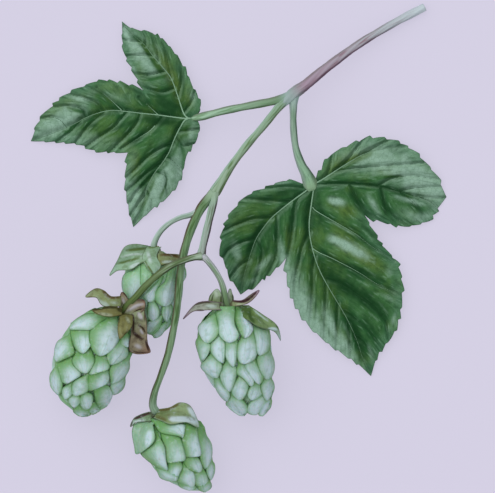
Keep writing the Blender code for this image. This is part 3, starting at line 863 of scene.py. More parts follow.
class VeinRank(Enum):
    """How wide half a vein is at its start, in mm, and how pale it is there and at its end."""

    MAIN = (0.3, 0.95, 0.35)
    PALE = (0.18, 0.9, 0.5)
    SIDE = (0.13, 0.05, 0.0)


Wave = tuple[float, float, float]  # a smooth unevenness: its height in mm, its size in px and its seed


@dataclass
class Leaf:
    """A three-lobed blade, puckered between its veins, with the veins as ribs of their own.

    Heights are the ones that the part's blade passes through. Veins are lists of (u, v), each from
    the rib that it leaves towards the edge.
    """

    node: str
    margins: list[Margin]
    heights: list[tuple[float, float, float]]
    main_veins: list[list[tuple[float, float]]]
    pale_veins: list[list[tuple[float, float]]]
    side_veins: list[list[tuple[float, float]]]
    # strokes of painted light and painted shade, where the blade also swells or sinks
    washes: list[Wash]
    suns: list[Wash]  # where the sun has turned it olive
    tooth_px: float = 1.8  # the usual height of a tooth
    spacing_px: float = 1.1  # between the mesh's points
    pucker_mm: float = 1.1  # how far the blade swells between its side veins
    pucker_reach_mm: float = 3.4  # how far from a vein that swelling is full
    rim_pucker: float = 0.45  # how much of it is left at the edge
    rim_mm: float = 3.0  # how wide the flatter rim is
    valley_mm: float = 0.8  # how far it sinks at a main vein
    valley_width_mm: float = 2.4
    valley_fade_mm: float = 8.0  # how far from the edge a valley is full
    vein_reach_px: float = 9.0  # how far the folds beside a side vein run on past its end
    off_mm: float = 2.5  # how far from a vein the finish's short strokes turn along it
    wash_mm: float = 0.35  # how far it swells or sinks under a wash
    waves: tuple[Wave, ...] = ((0.22, 11.0, 3.0), (0.10, 4.0, 9.0))  # of the whole blade
    rim_wave: Wave = (0.30, 16.0, 5.0)  # of its rim alone
    thickness_mm: float = 0.3
    lift_mm: float = 0.3  # from the part's middle surface up to its skin

    def edge(self) -> Points:
        """The blade's closed edge in px, teeth included."""
        dice = np.random.default_rng(SEED + len(self.node))
        least = 0.25  # px between two of its points
        corners = np.array([point for margin in self.margins for point in margin.points])
        outward = -1 if turned(corners) > 0 else 1
        found = []
        for margin in self.margins:
            for point in margin.toothed(self.tooth_px, outward, dice):
                if not found or np.linalg.norm(point - found[-1]) > least:
                    found.append(point)
        return np.array(found)

    def draped(self, places: Points) -> Points:
        """Heights in mm of the thin plate that the part's blade is bent to.

        Args:
            places: rows of (u, v).

        Returns:
            One height for each place.
        """
        plate_px = 100.0  # the unit in which the plate is solved
        known = np.array(self.heights, float)
        spots, count = known[:, :2] / plate_px, len(known)

        def bend(gaps: Points) -> Points:
            """The plate's own curve over a distance."""
            return gaps**2 * np.log(np.maximum(gaps, 1e-9))

        level = np.hstack([np.ones((count, 1)), spots])
        gaps = np.linalg.norm(spots[:, None] - spots[None], axis=2)
        system = np.block([[bend(gaps), level], [level.T, np.zeros((3, 3))]])
        weights = np.linalg.solve(system, np.concatenate([known[:, 2], np.zeros(3)]))
        wanted = places / plate_px
        near = bend(np.linalg.norm(wanted[:, None] - spots[None], axis=2))
        return near @ weights[:count] + weights[count] + wanted @ weights[count + 1 :]

    def surface(self, places: Points, rims: Points) -> tuple[Points, dict[str, Points]]:
        """The height of the blade's upper skin, and what its finish reads.

        Args:
            places: rows of (u, v).
            rims: how far each place is from the edge, in mm.

        Returns:
            Heights in mm, and the painted values by name.
        """
        main, _, main_facing = nearest_line(places, [through(vein) for vein in self.main_veins]).T
        sides = [stretched(through(vein), self.vein_reach_px) for vein in self.pale_veins + self.side_veins]
        side, run, side_facing = nearest_line(places, sides).T
        main, side, run = main * PX_MM, side * PX_MM, run * PX_MM
        # painted light and shade on the two sides of each vein, as from a light at the upper left
        fold_shading = side_facing * hump(side, middle=0.5, width=0.75)
        fold_shading += 0.7 * main_facing * hump(main, middle=0.8, width=1.0)
        rise = 1 - (1 - np.clip(np.minimum(main, side) / self.pucker_reach_mm, 0, 1)) ** 2
        mean_rise = 0.45
        held = ease(rims, 0.0, self.rim_mm)
        # painted highlights and painted shade from the washes
        glow = washed(places, self.washes) * (1 + 0.35 * ripple(places, 5.0, 2.0))
        height = self.draped(places) + self.lift_mm
        height += self.pucker_mm * (rise - mean_rise) * (self.rim_pucker + (1 - self.rim_pucker) * held)
        height -= self.valley_mm * hump(main, 0, self.valley_width_mm) * ease(rims, 0.0, self.valley_fade_mm)
        height += self.wash_mm * glow * held
        height += sum(tall * ripple(places, size, seed) for tall, size, seed in self.waves)
        tall, size, seed = self.rim_wave
        height += tall * ripple(places, size, seed) * (1 - held)
        paint = {
            "rise": rise, "main": main, "rim": rims, "glow": glow, "run": run,
            "sun": washed(places, self.suns),
            "off": self.off_mm * (1 - np.exp(-side / self.off_mm)),
            "fold_shading": fold_shading * ease(main + side, 0.0, 1.0),
        }
        return np.maximum(height, self.thickness_mm + 0.05), paint

    def build_blade(self) -> bpy.types.Object:
        """Makes the blade."""
        edge = self.edge()
        low, high = edge.min(axis=0), edge.max(axis=0)
        rows = np.arange(low[1], high[1], self.spacing_px * math.sqrt(3) / 2)
        columns = np.arange(low[0], high[0], self.spacing_px)
        u, v = np.meshgrid(columns, rows)
        u = u + self.spacing_px / 2 * (np.arange(len(rows)) % 2)[:, None]
        inner = np.column_stack([u.ravel(), v.ravel()])
        clear = 0.55 * self.spacing_px  # between the edge and the first points inside it
        inner = inner[from_ring(inner, edge) > clear]
        corners = [Vector(point) for point in np.vstack([edge, inner])]
        ring = list(range(len(edge)))
        points, _, faces, *_ = delaunay_2d_cdt(corners, [], [ring], 1, 1e-4)
        places = np.array([tuple(point) for point in points])
        heights, paint = self.surface(places, from_ring(places, edge) * PX_MM)
        skin = Skin()
        skin.add(on_table(np.column_stack([places, heights])), [list(face)[::-1] for face in faces], **paint)
        coats = [LEAF_TOP.material(), LEAF_UNDER.material()]
        made = skin.build(f"{self.node}_skin", coats, self.thickness_mm * MM)
        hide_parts(self.node)
        return made

    def build_veins(self) -> bpy.types.Object:
        """Makes the veins: low ribs on the upper skin, and stouter ones under the blade."""
        skin = Skin()
        edge = self.edge()
        step_px, taper, proud_mm = 1.2, 0.72, 0.05
        low, stout = 0.6, 1.5  # half a rib's height above the blade and below it, in half widths
        broad = 1.6  # how much wider it is below
        lists = (self.main_veins, self.pale_veins, self.side_veins)
        for veins, (half_mm, pale, end_pale) in zip(lists, (rank.value for rank in VeinRank)):
            for vein in veins:
                smooth = through(vein)
                line = even(smooth, max(4, round(run_along(smooth)[-1] / step_px)))
                heights, _ = self.surface(line, from_ring(line, edge) * PX_MM)
                share = np.linspace(0, 1, len(line))
                half = half_mm * (1 - taper * share**0.8)
                fade = pale + (end_pale - pale) * share
                top = np.maximum(heights + proud_mm, half * low + proud_mm)
                self.add_rib(skin, line, top, half, half * low, fade)
                under = np.maximum(heights - self.thickness_mm, half * stout + proud_mm)
                self.add_rib(skin, line, under, half * broad, half * stout, np.full(len(line), 0.9))
        made = skin.build(f"{self.node}_veins", [VEIN.material()])
        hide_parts(self.node)
        return made

    def add_rib(
        self, skin: Skin, line: Points, heights: Points, wide: Points, tall: Points, pale: Points
    ) -> None:
        """Adds one rib with an oval section.

        Args:
            skin: what it is added to.
            line: rows of (u, v) along it.
            heights: height of its middle at each row, in mm.
            wide: half its width at each row, in mm.
            tall: half its height at each row, in mm.
            pale: how pale it is at each row.
        """
        sides = 8
        turn = np.linspace(0, 2 * math.pi, sides, endpoint=False)
        centres = on_table(np.column_stack([line, heights]))
        across = unit(directions(centres)[1] * (1, 1, 0))
        rings = (
            centres[:, None]
            + across[:, None] * (np.sin(turn)[None] * wide[:, None] * MM)[..., None]
            + np.array([0, 0, 1.0]) * (np.cos(turn)[None] * tall[:, None] * MM)[..., None]
        )
        skin.add_tube(rings, pale=np.repeat(pale, sides))


LEFT_LEAF = Leaf(
    node="left_leaf_blade",
    margins=[
        Margin([(195.5, 117), (199.5, 110), (199.3, 100.4), (190.5, 82.9), (183.4, 67), (169, 46.2),
                (153, 33.5), (132.5, 28.6), (121.6, 20.8)], 12, True),
        Margin([(121.6, 20.8), (123.6, 49.4), (133, 70.2), (143.5, 90.5)], 6, False),
        Margin([(143.5, 90.5), (127.6, 85), (102, 80.5), (83, 86.5), (62, 97.5), (40, 119.5),
                (30.3, 141)], 11, True),
        Margin([(30.3, 141), (57.4, 141.5), (79, 144), (96, 150.5), (112, 151.5), (127.6, 152.5)],
               9, False),
        Margin([(127.6, 152.5), (125.5, 183), (128.5, 207), (133, 227.2)], 6, True),
        Margin([(133, 227.2), (150, 210.5), (170, 193.5), (180.5, 177), (186, 156), (197, 137),
                (199, 124.5), (195.5, 118.5)], 10, False),
    ],
    heights=[
        (186, 118, 5.4), (197, 104, 4.6), (197, 131, 4.4), (160, 68, 5.2), (121.6, 20.8, 0.2),
        (128, 60, 3.4), (186, 76, 3.2), (143.5, 91, 4.7), (110, 111, 5.6), (92, 84, 2.6),
        (92, 149, 2.2), (30, 141, 0.2), (127.6, 152, 3.8), (158, 172, 4.3), (126, 185, 2.3),
        (183, 166, 2.6), (133, 227, 0.2),
    ],
    main_veins=[
        [(191, 118.2), (182, 118), (158, 114.8), (143.8, 113.4), (121.2, 110.8), (109.8, 110.3),
         (97, 113.1), (85.7, 117.4), (75.8, 122.6), (64.5, 128), (50, 134), (33, 140)],
        [(188, 118), (183.5, 113), (177.8, 96.2), (170.7, 77.7), (160.8, 65), (152.3, 55), (145.2, 45.2),
         (135.3, 36.7), (124.5, 26.5)],
        [(188, 118.5), (183.5, 121.6), (175, 137.2), (169.3, 151.4), (162.2, 162.7), (153.7, 174),
         (146.6, 188.2), (143.8, 202.4), (138.1, 217), (134, 224.5)],
    ],
    pale_veins=[
        [(155, 125.5), (149.5, 131), (140, 137), (129, 144)],
        [(121.5, 110), (112, 101), (104, 94)],
        [(158, 114.5), (152, 109), (146, 103.5)],
    ],
    side_veins=[
        [(163, 116), (159, 121.5), (155, 125.5)],
        [(121.2, 111), (111.2, 100.4), (101.3, 93.3), (90, 88)],
        [(158, 114.8), (149.5, 104.6), (143.8, 97.6), (140.5, 92)],
        [(85.7, 117), (81.5, 108.9), (68.7, 106), (54, 107)],
        [(104, 111.5), (97, 103), (84, 98), (72, 95)],
        [(66, 127), (60, 120), (52, 117), (44, 118)],
        [(127, 112), (121, 119), (114, 127.3), (101.3, 135.8), (88.6, 145)],
        [(104, 112), (90, 124), (82, 134), (77, 141)],
        [(80, 121), (72, 130), (62, 138)],
        [(140, 113.5), (137, 123), (128, 134), (114, 148)],
        [(170.7, 77.7), (167.9, 63.6), (165, 49.4), (160.8, 41)],
        [(177.8, 96.2), (182, 79.2), (181, 67)],
        [(145.2, 45.2), (145.2, 38), (142, 31)],
        [(158, 61), (157, 50), (153, 37)],
        [(184, 112), (192, 102), (195, 93)],
        [(165, 71), (149.5, 75), (137, 74)],
        [(174, 88), (163.6, 92), (153.7, 90.5), (146, 88)],
        [(152.3, 55), (141, 55), (128.5, 56)],
        [(140, 41), (133, 41), (125, 40)],
        [(172, 145), (163.6, 147), (149.5, 155.6), (139.6, 165), (128.2, 176)],
        [(162, 163), (149.5, 171), (138, 181), (128, 190)],
        [(153.7, 174), (145.2, 183), (135.3, 194), (129.7, 203)],
        [(145, 195), (139, 203), (133, 212)],
        [(176, 137.2), (183.5, 145.7), (190.6, 145)],
        [(166, 157), (172, 160), (180, 168)],
        [(156, 172), (165, 176), (167, 186)],
        [(146.6, 190), (151, 199), (152, 206)],
        [(178, 131), (187, 131), (196, 130)],
    ],
    washes=[
        Wash([(134, 36), (143.4, 45.2), (150.5, 56.5), (163.6, 74.9)], 2.3, -0.7),
        Wash([(156.6, 97.6), (176.4, 111.7)], 9.2, -0.95),
        Wash([(165.1, 48), (169.3, 60.7), (170.7, 70.7)], 2.3, -0.5),
        Wash([(182.1, 70.7), (183.5, 87.7), (179.2, 99)], 2.5, -0.45),
        Wash([(135.3, 74.9), (149.5, 78.4), (163.6, 76.3)], 2, -0.65),
        Wash([(146.6, 93.3), (160.8, 99)], 2.8, -0.5),
        Wash([(143.8, 118.8), (177.8, 123.1)], 6.4, -0.95),
        Wash([(109.8, 113.2), (92.8, 116.7), (78.7, 124.5), (64.5, 131.6)], 2.3, -0.8),
        Wash([(85.7, 125.9), (101.3, 125.9)], 4, -0.7),
        Wash([(138.1, 120.2), (121.2, 125.9), (101.3, 134.4)], 3.7, -0.7),
        Wash([(68.7, 108.2), (82.9, 111.7)], 2.3, -0.55),
        Wash([(98.5, 94.7), (112.7, 107.5)], 3.7, -0.65),
        Wash([(121.2, 83.4), (129.6, 87.7), (142.4, 94.7)], 2.5, -0.6),
        Wash([(148.1, 123.1), (138.1, 138.6), (129.6, 145.7)], 3.4, -0.6),
        Wash([(179.2, 125.9), (172.1, 144.3), (160.8, 164.1), (143.8, 181.1)], 5.9, -0.95),
        Wash([(153.7, 141.5), (142.4, 158.5), (129.6, 179.7)], 2.8, -0.6),
        Wash([(148.1, 171.2), (129.6, 191.1)], 2.3, -0.5),
        Wash([(155.1, 176.9), (146.6, 196.7), (139.6, 218)], 2, -0.6),
        Wash([(163.6, 169.8), (166.5, 181.1), (160.1, 198.1)], 1.3, -0.6),
        Wash([(179.9, 141.5), (184.2, 155.6), (182.8, 168.4)], 1.7, -0.5),
        Wash([(94.2, 82), (112.7, 81.3)], 1.7, -0.5),
        Wash([(127.5, 39.5), (138.1, 50.8)], 6.4, 0.8),
        Wash([(122.6, 24), (126, 33), (131, 45)], 4.2, 0.85),
        Wash([(66, 98), (98, 96), (130, 100)], 9, 0.35),
        Wash([(58, 134), (92, 136), (122, 143)], 8, 0.4),
        Wash([(134, 152), (132, 178), (133, 205)], 7, 0.35),
        Wash([(130, 31), (141, 36.5), (152, 44)], 2.2, 0.4),
        Wash([(126.5, 58), (134, 70), (141.5, 84)], 3.4, 0.5),
        Wash([(33, 139), (46, 131.5), (60, 122)], 3.6, 0.5),
        Wash([(186, 150), (179, 178), (163, 195), (147, 211), (135, 223)], 3.2, 0.6),
        Wash([(170, 152), (160, 171), (149, 190)], 2.6, 0.4),
        Wash([(129.5, 188), (131, 206), (134, 221)], 2, 0.4),
        Wash([(133.9, 57.9), (146.6, 67.8)], 5.4, 0.5),
        Wash([(143.8, 80.6), (158, 89.1)], 4, 0.35),
        Wash([(146.6, 39.5), (158, 59.3), (169.3, 80.6)], 2, 0.4),
        Wash([(155.1, 42.3), (163.6, 55.1)], 3.7, 0.35),
        Wash([(192, 90.5), (194.8, 106.1)], 4.2, 0.45),
        Wash([(70.2, 97.6), (88.6, 99.7)], 3.7, 0.75),
        Wash([(56, 106.1), (78.7, 106.8)], 1.7, 0.5),
        Wash([(39, 127.3), (64.5, 115.3)], 5.9, 0.6),
        Wash([(58.8, 137.2), (82.9, 135.8)], 3.1, 0.55),
        Wash([(104.2, 93.3), (129.6, 101.8)], 3.7, 0.4),
        Wash([(102.7, 144.3), (125.4, 141.5)], 3.1, 0.4),
        Wash([(90, 131.6), (101.3, 123.1)], 2, 0.45),
        Wash([(107, 134.4), (121.2, 120.2)], 2, 0.5),
        Wash([(192, 125.9), (190.6, 141.5)], 4.8, 0.6),
        Wash([(175, 148.6), (179.2, 172.6), (170.7, 191.1)], 6.2, 0.7),
        Wash([(158, 191.1), (149.5, 209.5), (138.1, 219.4)], 3.7, 0.55),
        Wash([(139.6, 167), (129.6, 182.6)], 2.3, 0.4),
        Wash([(158, 169.8), (149.5, 184)], 2.3, 0.4),
        Wash([(176, 145), (165, 175), (140, 222)], 16, 0.85),
        Wash([(128, 172), (134, 200), (136, 222)], 12, 0.7),
        Wash([(112, 146), (84, 140), (52, 134)], 8, 0.45),
        Wash([(128, 32), (140, 52), (158, 76)], 13, 0.7),
        Wash([(36, 136), (56, 124), (80, 108)], 14, 0.85),
        Wash([(193, 122), (196, 138)], 8, 0.4),
        Wash([(146, 117), (180, 117)], 11, -0.6),
    ],
    suns=[
        Wash([(138, 66), (142, 84)], 7, 0.7),
        Wash([(96, 86), (112, 86), (130, 92)], 7, 0.7),
        Wash([(160, 54), (172, 76), (180, 98)], 8, 0.9),
        Wash([(187, 82), (191, 106)], 7, 0.9),
        Wash([(40, 120), (62, 104), (80, 98)], 8, 0.8),
        Wash([(127, 146), (134, 158), (131, 178)], 8, 0.9),
    ],
)
RIGHT_LEAF = Leaf(
    node="right_leaf_blade",
    margins=[
        Margin([(302, 183.5), (286, 180.8), (266, 188), (245.5, 197.5), (227, 221), (221, 248),
                (227, 269), (232, 280), (240.5, 294.8)], 12, True),
        Margin([(240.5, 294.8), (258.5, 282), (274, 269.5), (286.3, 258)], 5, False),
        Margin([(286.3, 258), (287, 275), (293, 298), (306.5, 322), (328, 343), (355, 361.5),
                (371.3, 376.5)], 11, True),
        Margin([(371.3, 376.5), (379, 353), (395, 331), (402, 296), (399, 268), (388.5, 253),
                (376, 237), (364.4, 214.7)], 14, False),
        Margin([(364.4, 214.7), (384, 222), (407, 226), (428, 220), (440, 206), (447, 196.8)],
               8, True),
        Margin([(447, 196.8), (437, 177), (421, 158), (401, 143.5), (375, 138), (352, 144.5),
                (329, 157), (321, 171), (315.5, 181)], 12, False),
    ],
    heights=[
        (312, 186, 6.2), (262, 224, 5.6), (225, 245, 2.2), (240.5, 294, 0.2), (266, 190, 4.6),
        (286, 257, 4.8), (330, 262, 6), (401, 290, 2.4), (294, 300, 2.8), (371, 376, 0.2),
        (352, 325, 4.2), (364, 215, 5), (385, 184, 5.4), (368, 140, 3), (426, 163, 2.2),
        (402, 225, 2.2), (447, 197, 0.2),
    ],
    main_veins=[
        [(312, 182), (313.5, 188), (311.5, 203.4), (309.4, 221.4), (310, 236), (313.9, 254),
         (320.5, 272), (330.2, 290), (340, 306.3), (348.2, 321), (357, 340.5), (363, 358.5), (370, 373)],
        [(311, 184), (307, 190), (291, 201.8), (273, 216.5), (263.3, 228), (255.2, 241), (248.6, 260.6),
         (243.7, 276.9), (241, 290)],
        [(312, 184), (320.5, 180.6), (343.3, 165.9), (362.9, 154.5), (382.5, 148.8), (405, 146.5)],
    ],
    pale_veins=[
        [(312.5, 207), (317.2, 211.6), (336.8, 223), (356.4, 234.5), (371, 245.9), (387.4, 256)],
        [(312, 248), (320, 253), (333.5, 259), (358, 272), (376, 283.4), (399, 295)],
    ],
    side_veins=[
        [(313, 184), (322, 183.9), (351.5, 183.9), (379.2, 186.3), (398.8, 191.2), (420, 197),
         (443, 198.2)],
        [(327, 279), (340, 284), (354.7, 293), (372.7, 306.3), (385.7, 321), (388, 330)],
        [(345, 312), (354, 318), (366.2, 328), (377.6, 342)],
        [(357, 338), (364, 343), (372, 353)],
        [(309, 190), (298, 199), (294.3, 210), (293.5, 221.4), (291, 241), (288.2, 256)],
        [(310, 232), (303, 246), (299, 262), (295, 282), (295, 296)],
        [(315, 256), (313, 270), (312.5, 293), (311, 318)],
        [(326, 282), (326, 300), (325, 332)],
        [(338, 303), (337.5, 318), (337, 345)],
        [(349, 324), (350, 338), (351, 356)],
        [(273, 218), (253.5, 219), (237.2, 224.7), (225, 230.5)],
        [(276.4, 216.5), (277.2, 234.5), (276.4, 255.7), (270, 271)],
        [(303, 187.5), (288, 186.5), (270, 188)],
        [(290, 202), (268.2, 200.5), (249, 199)],
        [(257, 239), (243, 242), (229, 250), (224, 257)],
        [(257, 240), (262, 252), (260, 267), (255, 282)],
        [(249, 260), (240, 266), (232, 276)],
        [(379.2, 185.5), (392.3, 178.5), (411.9, 175.7), (436, 179)],
        [(349.8, 184.5), (358, 200.4), (367.8, 212), (381, 220.5)],
        [(380.8, 187), (385.7, 205), (395.5, 217), (406, 224.5)],
        [(400, 191.5), (413, 202), (425, 216)],
        [(420, 197), (430, 201), (437, 207)],
        [(335, 171), (352, 168.5), (379, 166.5), (424, 163)],
        [(343, 166), (352, 155), (361, 143.5)],
        [(326, 177), (330, 168), (332, 159)],
        [(363, 154.5), (376, 147), (388, 141)],
        [(400, 191), (416, 188), (438, 187)],
    ],
    washes=[
        Wash([(304.1, 188.8), (284.5, 192.8), (260.1, 200.2)], 5.2, -0.8),
        Wash([(296, 200.2), (291.1, 224.7), (287.8, 250.8)], 3.9, -0.7),
        Wash([(265, 218.1), (255.2, 236.1), (247, 254)], 4.2, -0.8),
        Wash([(271.5, 224.7), (266.6, 250.8), (255.2, 260.6)], 2.9, -0.55),
        Wash([(276.4, 221.4), (274.8, 247.5)], 2.3, -0.6),
        Wash([(230.7, 226.3), (251.9, 219)], 1.6, -0.5),
        Wash([(307.4, 195.3), (306.6, 221.4), (309, 254)], 4.2, -0.8),
        Wash([(317.2, 193.7), (320.5, 211.6), (317.2, 231.2)], 4.9, -0.7),
        Wash([(322.1, 250.8), (333.5, 260.6), (362.9, 272), (389, 283.4)], 4.2, -0.75),
        Wash([(320.5, 265.5), (340, 283.4), (362.9, 296.5), (384.1, 311.2)], 10.1, -0.95),
        Wash([(346.6, 311.2), (356.4, 334), (364.5, 358.5)], 5.5, -0.95),
        Wash([(362.9, 314.4), (379.2, 337.3)], 4.2, -0.6),
        Wash([(359.6, 221.4), (372.7, 234.5), (385.7, 245.9)], 3.9, -0.6),
        Wash([(379.2, 303), (390.6, 325.9)], 2.9, -0.55),
        Wash([(309, 263.8), (313.9, 286.7)], 3.4, -0.5),
        Wash([(313.9, 306.3), (314.3, 327.5)], 2, -0.25),
        Wash([(336.8, 306.3), (338.1, 340.5)], 2, -0.35),
        Wash([(322.1, 183), (349.8, 183), (379.2, 187.1), (411.9, 196.9)], 2, -0.75),
        Wash([(351.5, 190.4), (358, 205.1), (371.1, 218.1)], 3.9, -0.75),
        Wash([(382.5, 192), (385.7, 211.6), (395.5, 223.8)], 2.6, -0.65),
        Wash([(327, 175.7), (346.6, 163.5), (369.4, 153.7)], 3.3, -0.65),
        Wash([(362.9, 181.4), (382.5, 177.3), (402.1, 176.5)], 1.6, -0.5),
        Wash([(393.9, 273.6), (395.5, 286.7)], 2.9, -0.4),
        Wash([(328.6, 199.4), (343.3, 203.4)], 4.9, 0.95),
        Wash([(330.2, 237.7), (349.8, 247.5), (366.2, 256.5)], 5.9, 1),
        Wash([(234, 242.6), (238.8, 260.6)], 5.9, 0.6),
        Wash([(255.2, 273.6), (269.9, 255.7)], 4.6, 0.65),
        Wash([(280.5, 239.4), (284.5, 251.6)], 2.9, 0.45),
        Wash([(247, 285.1), (258.4, 276.9)], 3.3, 0.45),
        Wash([(294.3, 270.4), (304.1, 306.3), (313.9, 329.1)], 5.5, 0.55),
        Wash([(323.7, 309.5), (333.5, 332.4), (351.5, 353.6)], 8.5, 0.8),
        Wash([(343.3, 322.6), (356.4, 347.1)], 4.2, 0.5),
        Wash([(322.1, 216.5), (359.6, 237.7)], 1.6, 0.45),
        Wash([(387.4, 270.4), (395.5, 275.3)], 4.9, 0.5),
        Wash([(377.6, 293.2), (397.2, 303)], 4.2, 0.5),
        Wash([(395.5, 312.8), (390.6, 329.1)], 3.6, 0.55),
        Wash([(367.8, 343.8), (372.7, 361.8)], 3.6, 0.5),
        Wash([(359.6, 143.9), (403.7, 147.1)], 4.9, 0.5),
        Wash([(362.9, 165.1), (418.4, 166.7)], 4.6, 0.5),
        Wash([(403.7, 177.3), (431.4, 182.2), (441.2, 195.3)], 7.2, 0.95),
        Wash([(393.9, 195.3), (428.2, 205.1)], 4.2, 0.6),
        Wash([(367.8, 195.3), (379.2, 213.2)], 3.9, 0.6),
        Wash([(411.9, 216.5), (426.5, 221.4)], 4.2, 0.55),
        Wash([(330.2, 190.4), (344.9, 187.1)], 2, 0.4),
        Wash([(265, 183.9), (291.1, 182.2)], 2.6, 0.5),
        Wash([(350, 155), (385, 160), (430, 180)], 22, 0.75),
        Wash([(400, 168), (432, 188), (440, 200)], 18, 1),
        Wash([(400, 212), (425, 218), (436, 208)], 8, 0.5),
        Wash([(312, 190), (314, 225)], 14, -0.55),
        Wash([(236, 262), (240, 282)], 9, 0.35),
        Wash([(288, 275), (310, 325), (350, 358)], 15, 1),
        Wash([(281, 244), (288, 276), (302, 312)], 6.5, 0.8),
        Wash([(300, 300), (318, 330), (346, 356)], 6.5, 0.7),
        Wash([(392, 262), (396, 300)], 8, 0.3),
        Wash([(308, 200), (312, 220)], 12, -0.6),
        Wash([(325, 258), (350, 280)], 9, -0.5),
        Wash([(262, 205), (258, 235)], 12, -0.35),
    ],
    suns=[
        Wash([(322, 174), (345, 158), (374, 154)], 9, 1),
        Wash([(376, 168), (402, 172)], 8, 0.8),
        Wash([(330, 204), (358, 214)], 8, 0.8),
        Wash([(338, 236), (360, 254), (382, 268)], 10, 1),
        Wash([(288, 226), (290, 248)], 5, 0.7),
        Wash([(238, 210), (230, 236)], 6, 0.4),
    ],
    tooth_px=2.2,
)


# ---------------------------------------------------------------- cones


def two_sides(outline: list[tuple[float, float]]) -> tuple[Points, Points]:
    """The two long sides of an outline, each from its root to its tip.

    Args:
        outline: (u, v) from one corner of the root to the other, with the tip in the middle.

    Returns:
        The side that is on the left where the tip points down the picture, then the other.
    """
    smooth = through(outline)
    middle = len(smooth) // 2
    sides = smooth[: middle + 1], smooth[middle:][::-1]
    return sides if turned(smooth) < 0 else sides[::-1]


def rungs(left: Points, right: Points, x: Points) -> Points:
    """Rows of places across a shape, each from its left side (x = -1) to its right side (x = 1)."""
    share = (x[None, :, None] + 1) / 2
    return left[:, None] * (1 - share) + right[:, None] * share


@dataclass
class Flap:
    """A leafy bract or a flared scale, by the outline that shows from above."""

    name: str
    outline: list[tuple[float, float]]
    heights: tuple[float, float, float]  # of its root, its middle and its tip, in mm
    look: BractLook
    washes: list[Wash]  # strokes of painted light where it swells, and of painted shade where it is folded down
    cup: float = 0.25  # how far its sides turn up, or down where negative, as a share of its width
    fold_mm: float = 0.5  # how far it swells or sinks under a wash
    lie_mm: float = 0.65  # how high it lies over the cone's scales
    rows: int = 36
    columns: int = 21
    stem_rows: int = 4  # of the stem that joins it to the cone's base
    clear_mm: float = 0.3  # how far over the table it is kept
    thickness_mm: float = 0.22

    def surface(self, cone: "Cone") -> tuple[Points, dict[str, Points]]:
        """The bract's upper side.

        Args:
            cone: what it grows from and lies on.

        Returns:
            Its points in metres, row by row, and its painted values.
        """
        share = np.linspace(0, NEAR_TIP, self.rows) ** 0.9
        x = np.linspace(-1, 1, self.columns)
        runs = [(side, run_along(side)) for side in two_sides(self.outline)]
        places = rungs(*(along_line(side, run / run[-1], share) for side, run in runs), x)
        middle = (places[:, 0] + places[:, -1]) / 2
        half = np.linalg.norm(places[:, -1] - places[:, 0], axis=1) * PX_MM / 2
        root, centre, tip = self.heights
        level = root + (4 * centre - 3 * root - tip) * share + 2 * (root + tip - 2 * centre) * share**2
        flat = places.reshape(-1, 2)
        strong, speckle, speckle_px = 1.3, 0.25, 7.0
        # painted light and shade from the washes, with a speckle
        glow = strong * washed(flat, self.washes)
        uneven = speckle * ripple(flat, speckle_px, self.outline[0][0])
        swell = np.sin(math.pi * np.clip(share, 0.04, 0.96)) ** 0.6  # less at its root and its tip
        height = level[:, None] + self.cup * half[:, None] * (x[None] ** 2 - 0.5)
        height = height + (self.fold_mm * (glow + uneven)).reshape(height.shape) * swell[:, None]
        held = 0.3  # how much of its folds is left where it lies on the cone
        folded = held * self.fold_mm * glow.reshape(height.shape)
        height = np.maximum(height, cone.top(flat).reshape(height.shape) + self.lie_mm + folded)
        stem = np.linspace(0, 1, self.stem_rows + 1)[:-1, None]
        below = np.array(cone.base[:2]) * (1 - stem) + middle[0] * stem
        narrow, widening = 0.45, 0.5  # the stem's width at the cone, and what it gains, as shares of the root
        start = below[:, None] + (places[0] - middle[0])[None] * (narrow + widening * stem[..., None])
        drop = cone.base[2] + (height[0][None] - cone.base[2]) * stem
        full = np.vstack([np.dstack([start, drop]), np.dstack([places, height])])
        along = np.concatenate([np.zeros(len(stem)), share])
        length = run_along(middle)[-1] - run_along(middle)
        edge = np.minimum((1 - abs(x))[None] * half[:, None], (length[:, None] + 0.5) * PX_MM * 0.9)
        far_mm, unlit = 2.0, -0.5  # the stem has no rim of its own, and lies in shade
        rim = np.vstack([np.full((len(stem), len(x)), far_mm), edge])
        paint = {
            "along": np.repeat(along, len(x)),
            "across": np.tile(x, len(along)),
            "rim": rim.reshape(-1),
            "glow": np.concatenate([np.full(len(stem) * len(x), unlit), glow + 0.3 * uneven]),
        }
        points = on_table(full.reshape(-1, 3))
        points[:, 2] = np.maximum(points[:, 2], self.clear_mm * MM)
        return points, paint

    def faces(self) -> Points:
        """The faces of its upper side."""
        return grid_faces(self.rows + self.stem_rows, self.columns)[:, ::-1]

    def build(self, cone: "Cone") -> bpy.types.Object:
        """Makes the bract, in place of its CAD node."""
        points, paint = self.surface(cone)
        skin = Skin()
        skin.add(points, self.faces(), **paint)
        node = f"{cone.name}_{self.name}_bract"
        made = skin.build(f"{node}_skin", [self.look.value.finish().material()], self.thickness_mm * MM)
        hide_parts(node)
        return made


@dataclass
class Scale:
    """One scale that shows from above, by the outline of the part that shows."""

    outline: list[tuple[float, float]]
    light: float = 0.0  # where its painted highlight lies, from -1 at its left side to 1 at its right
    bloom: float = 0.8  # how strong the painted highlight is
    lean: float = 0.0  # how far its left side, or its right side where negative, tucks under
    green: float = 0.0  # how green and deep it is, as where other scales shade it
    puff: float = 0.12  # how far it swells, as a share of its width


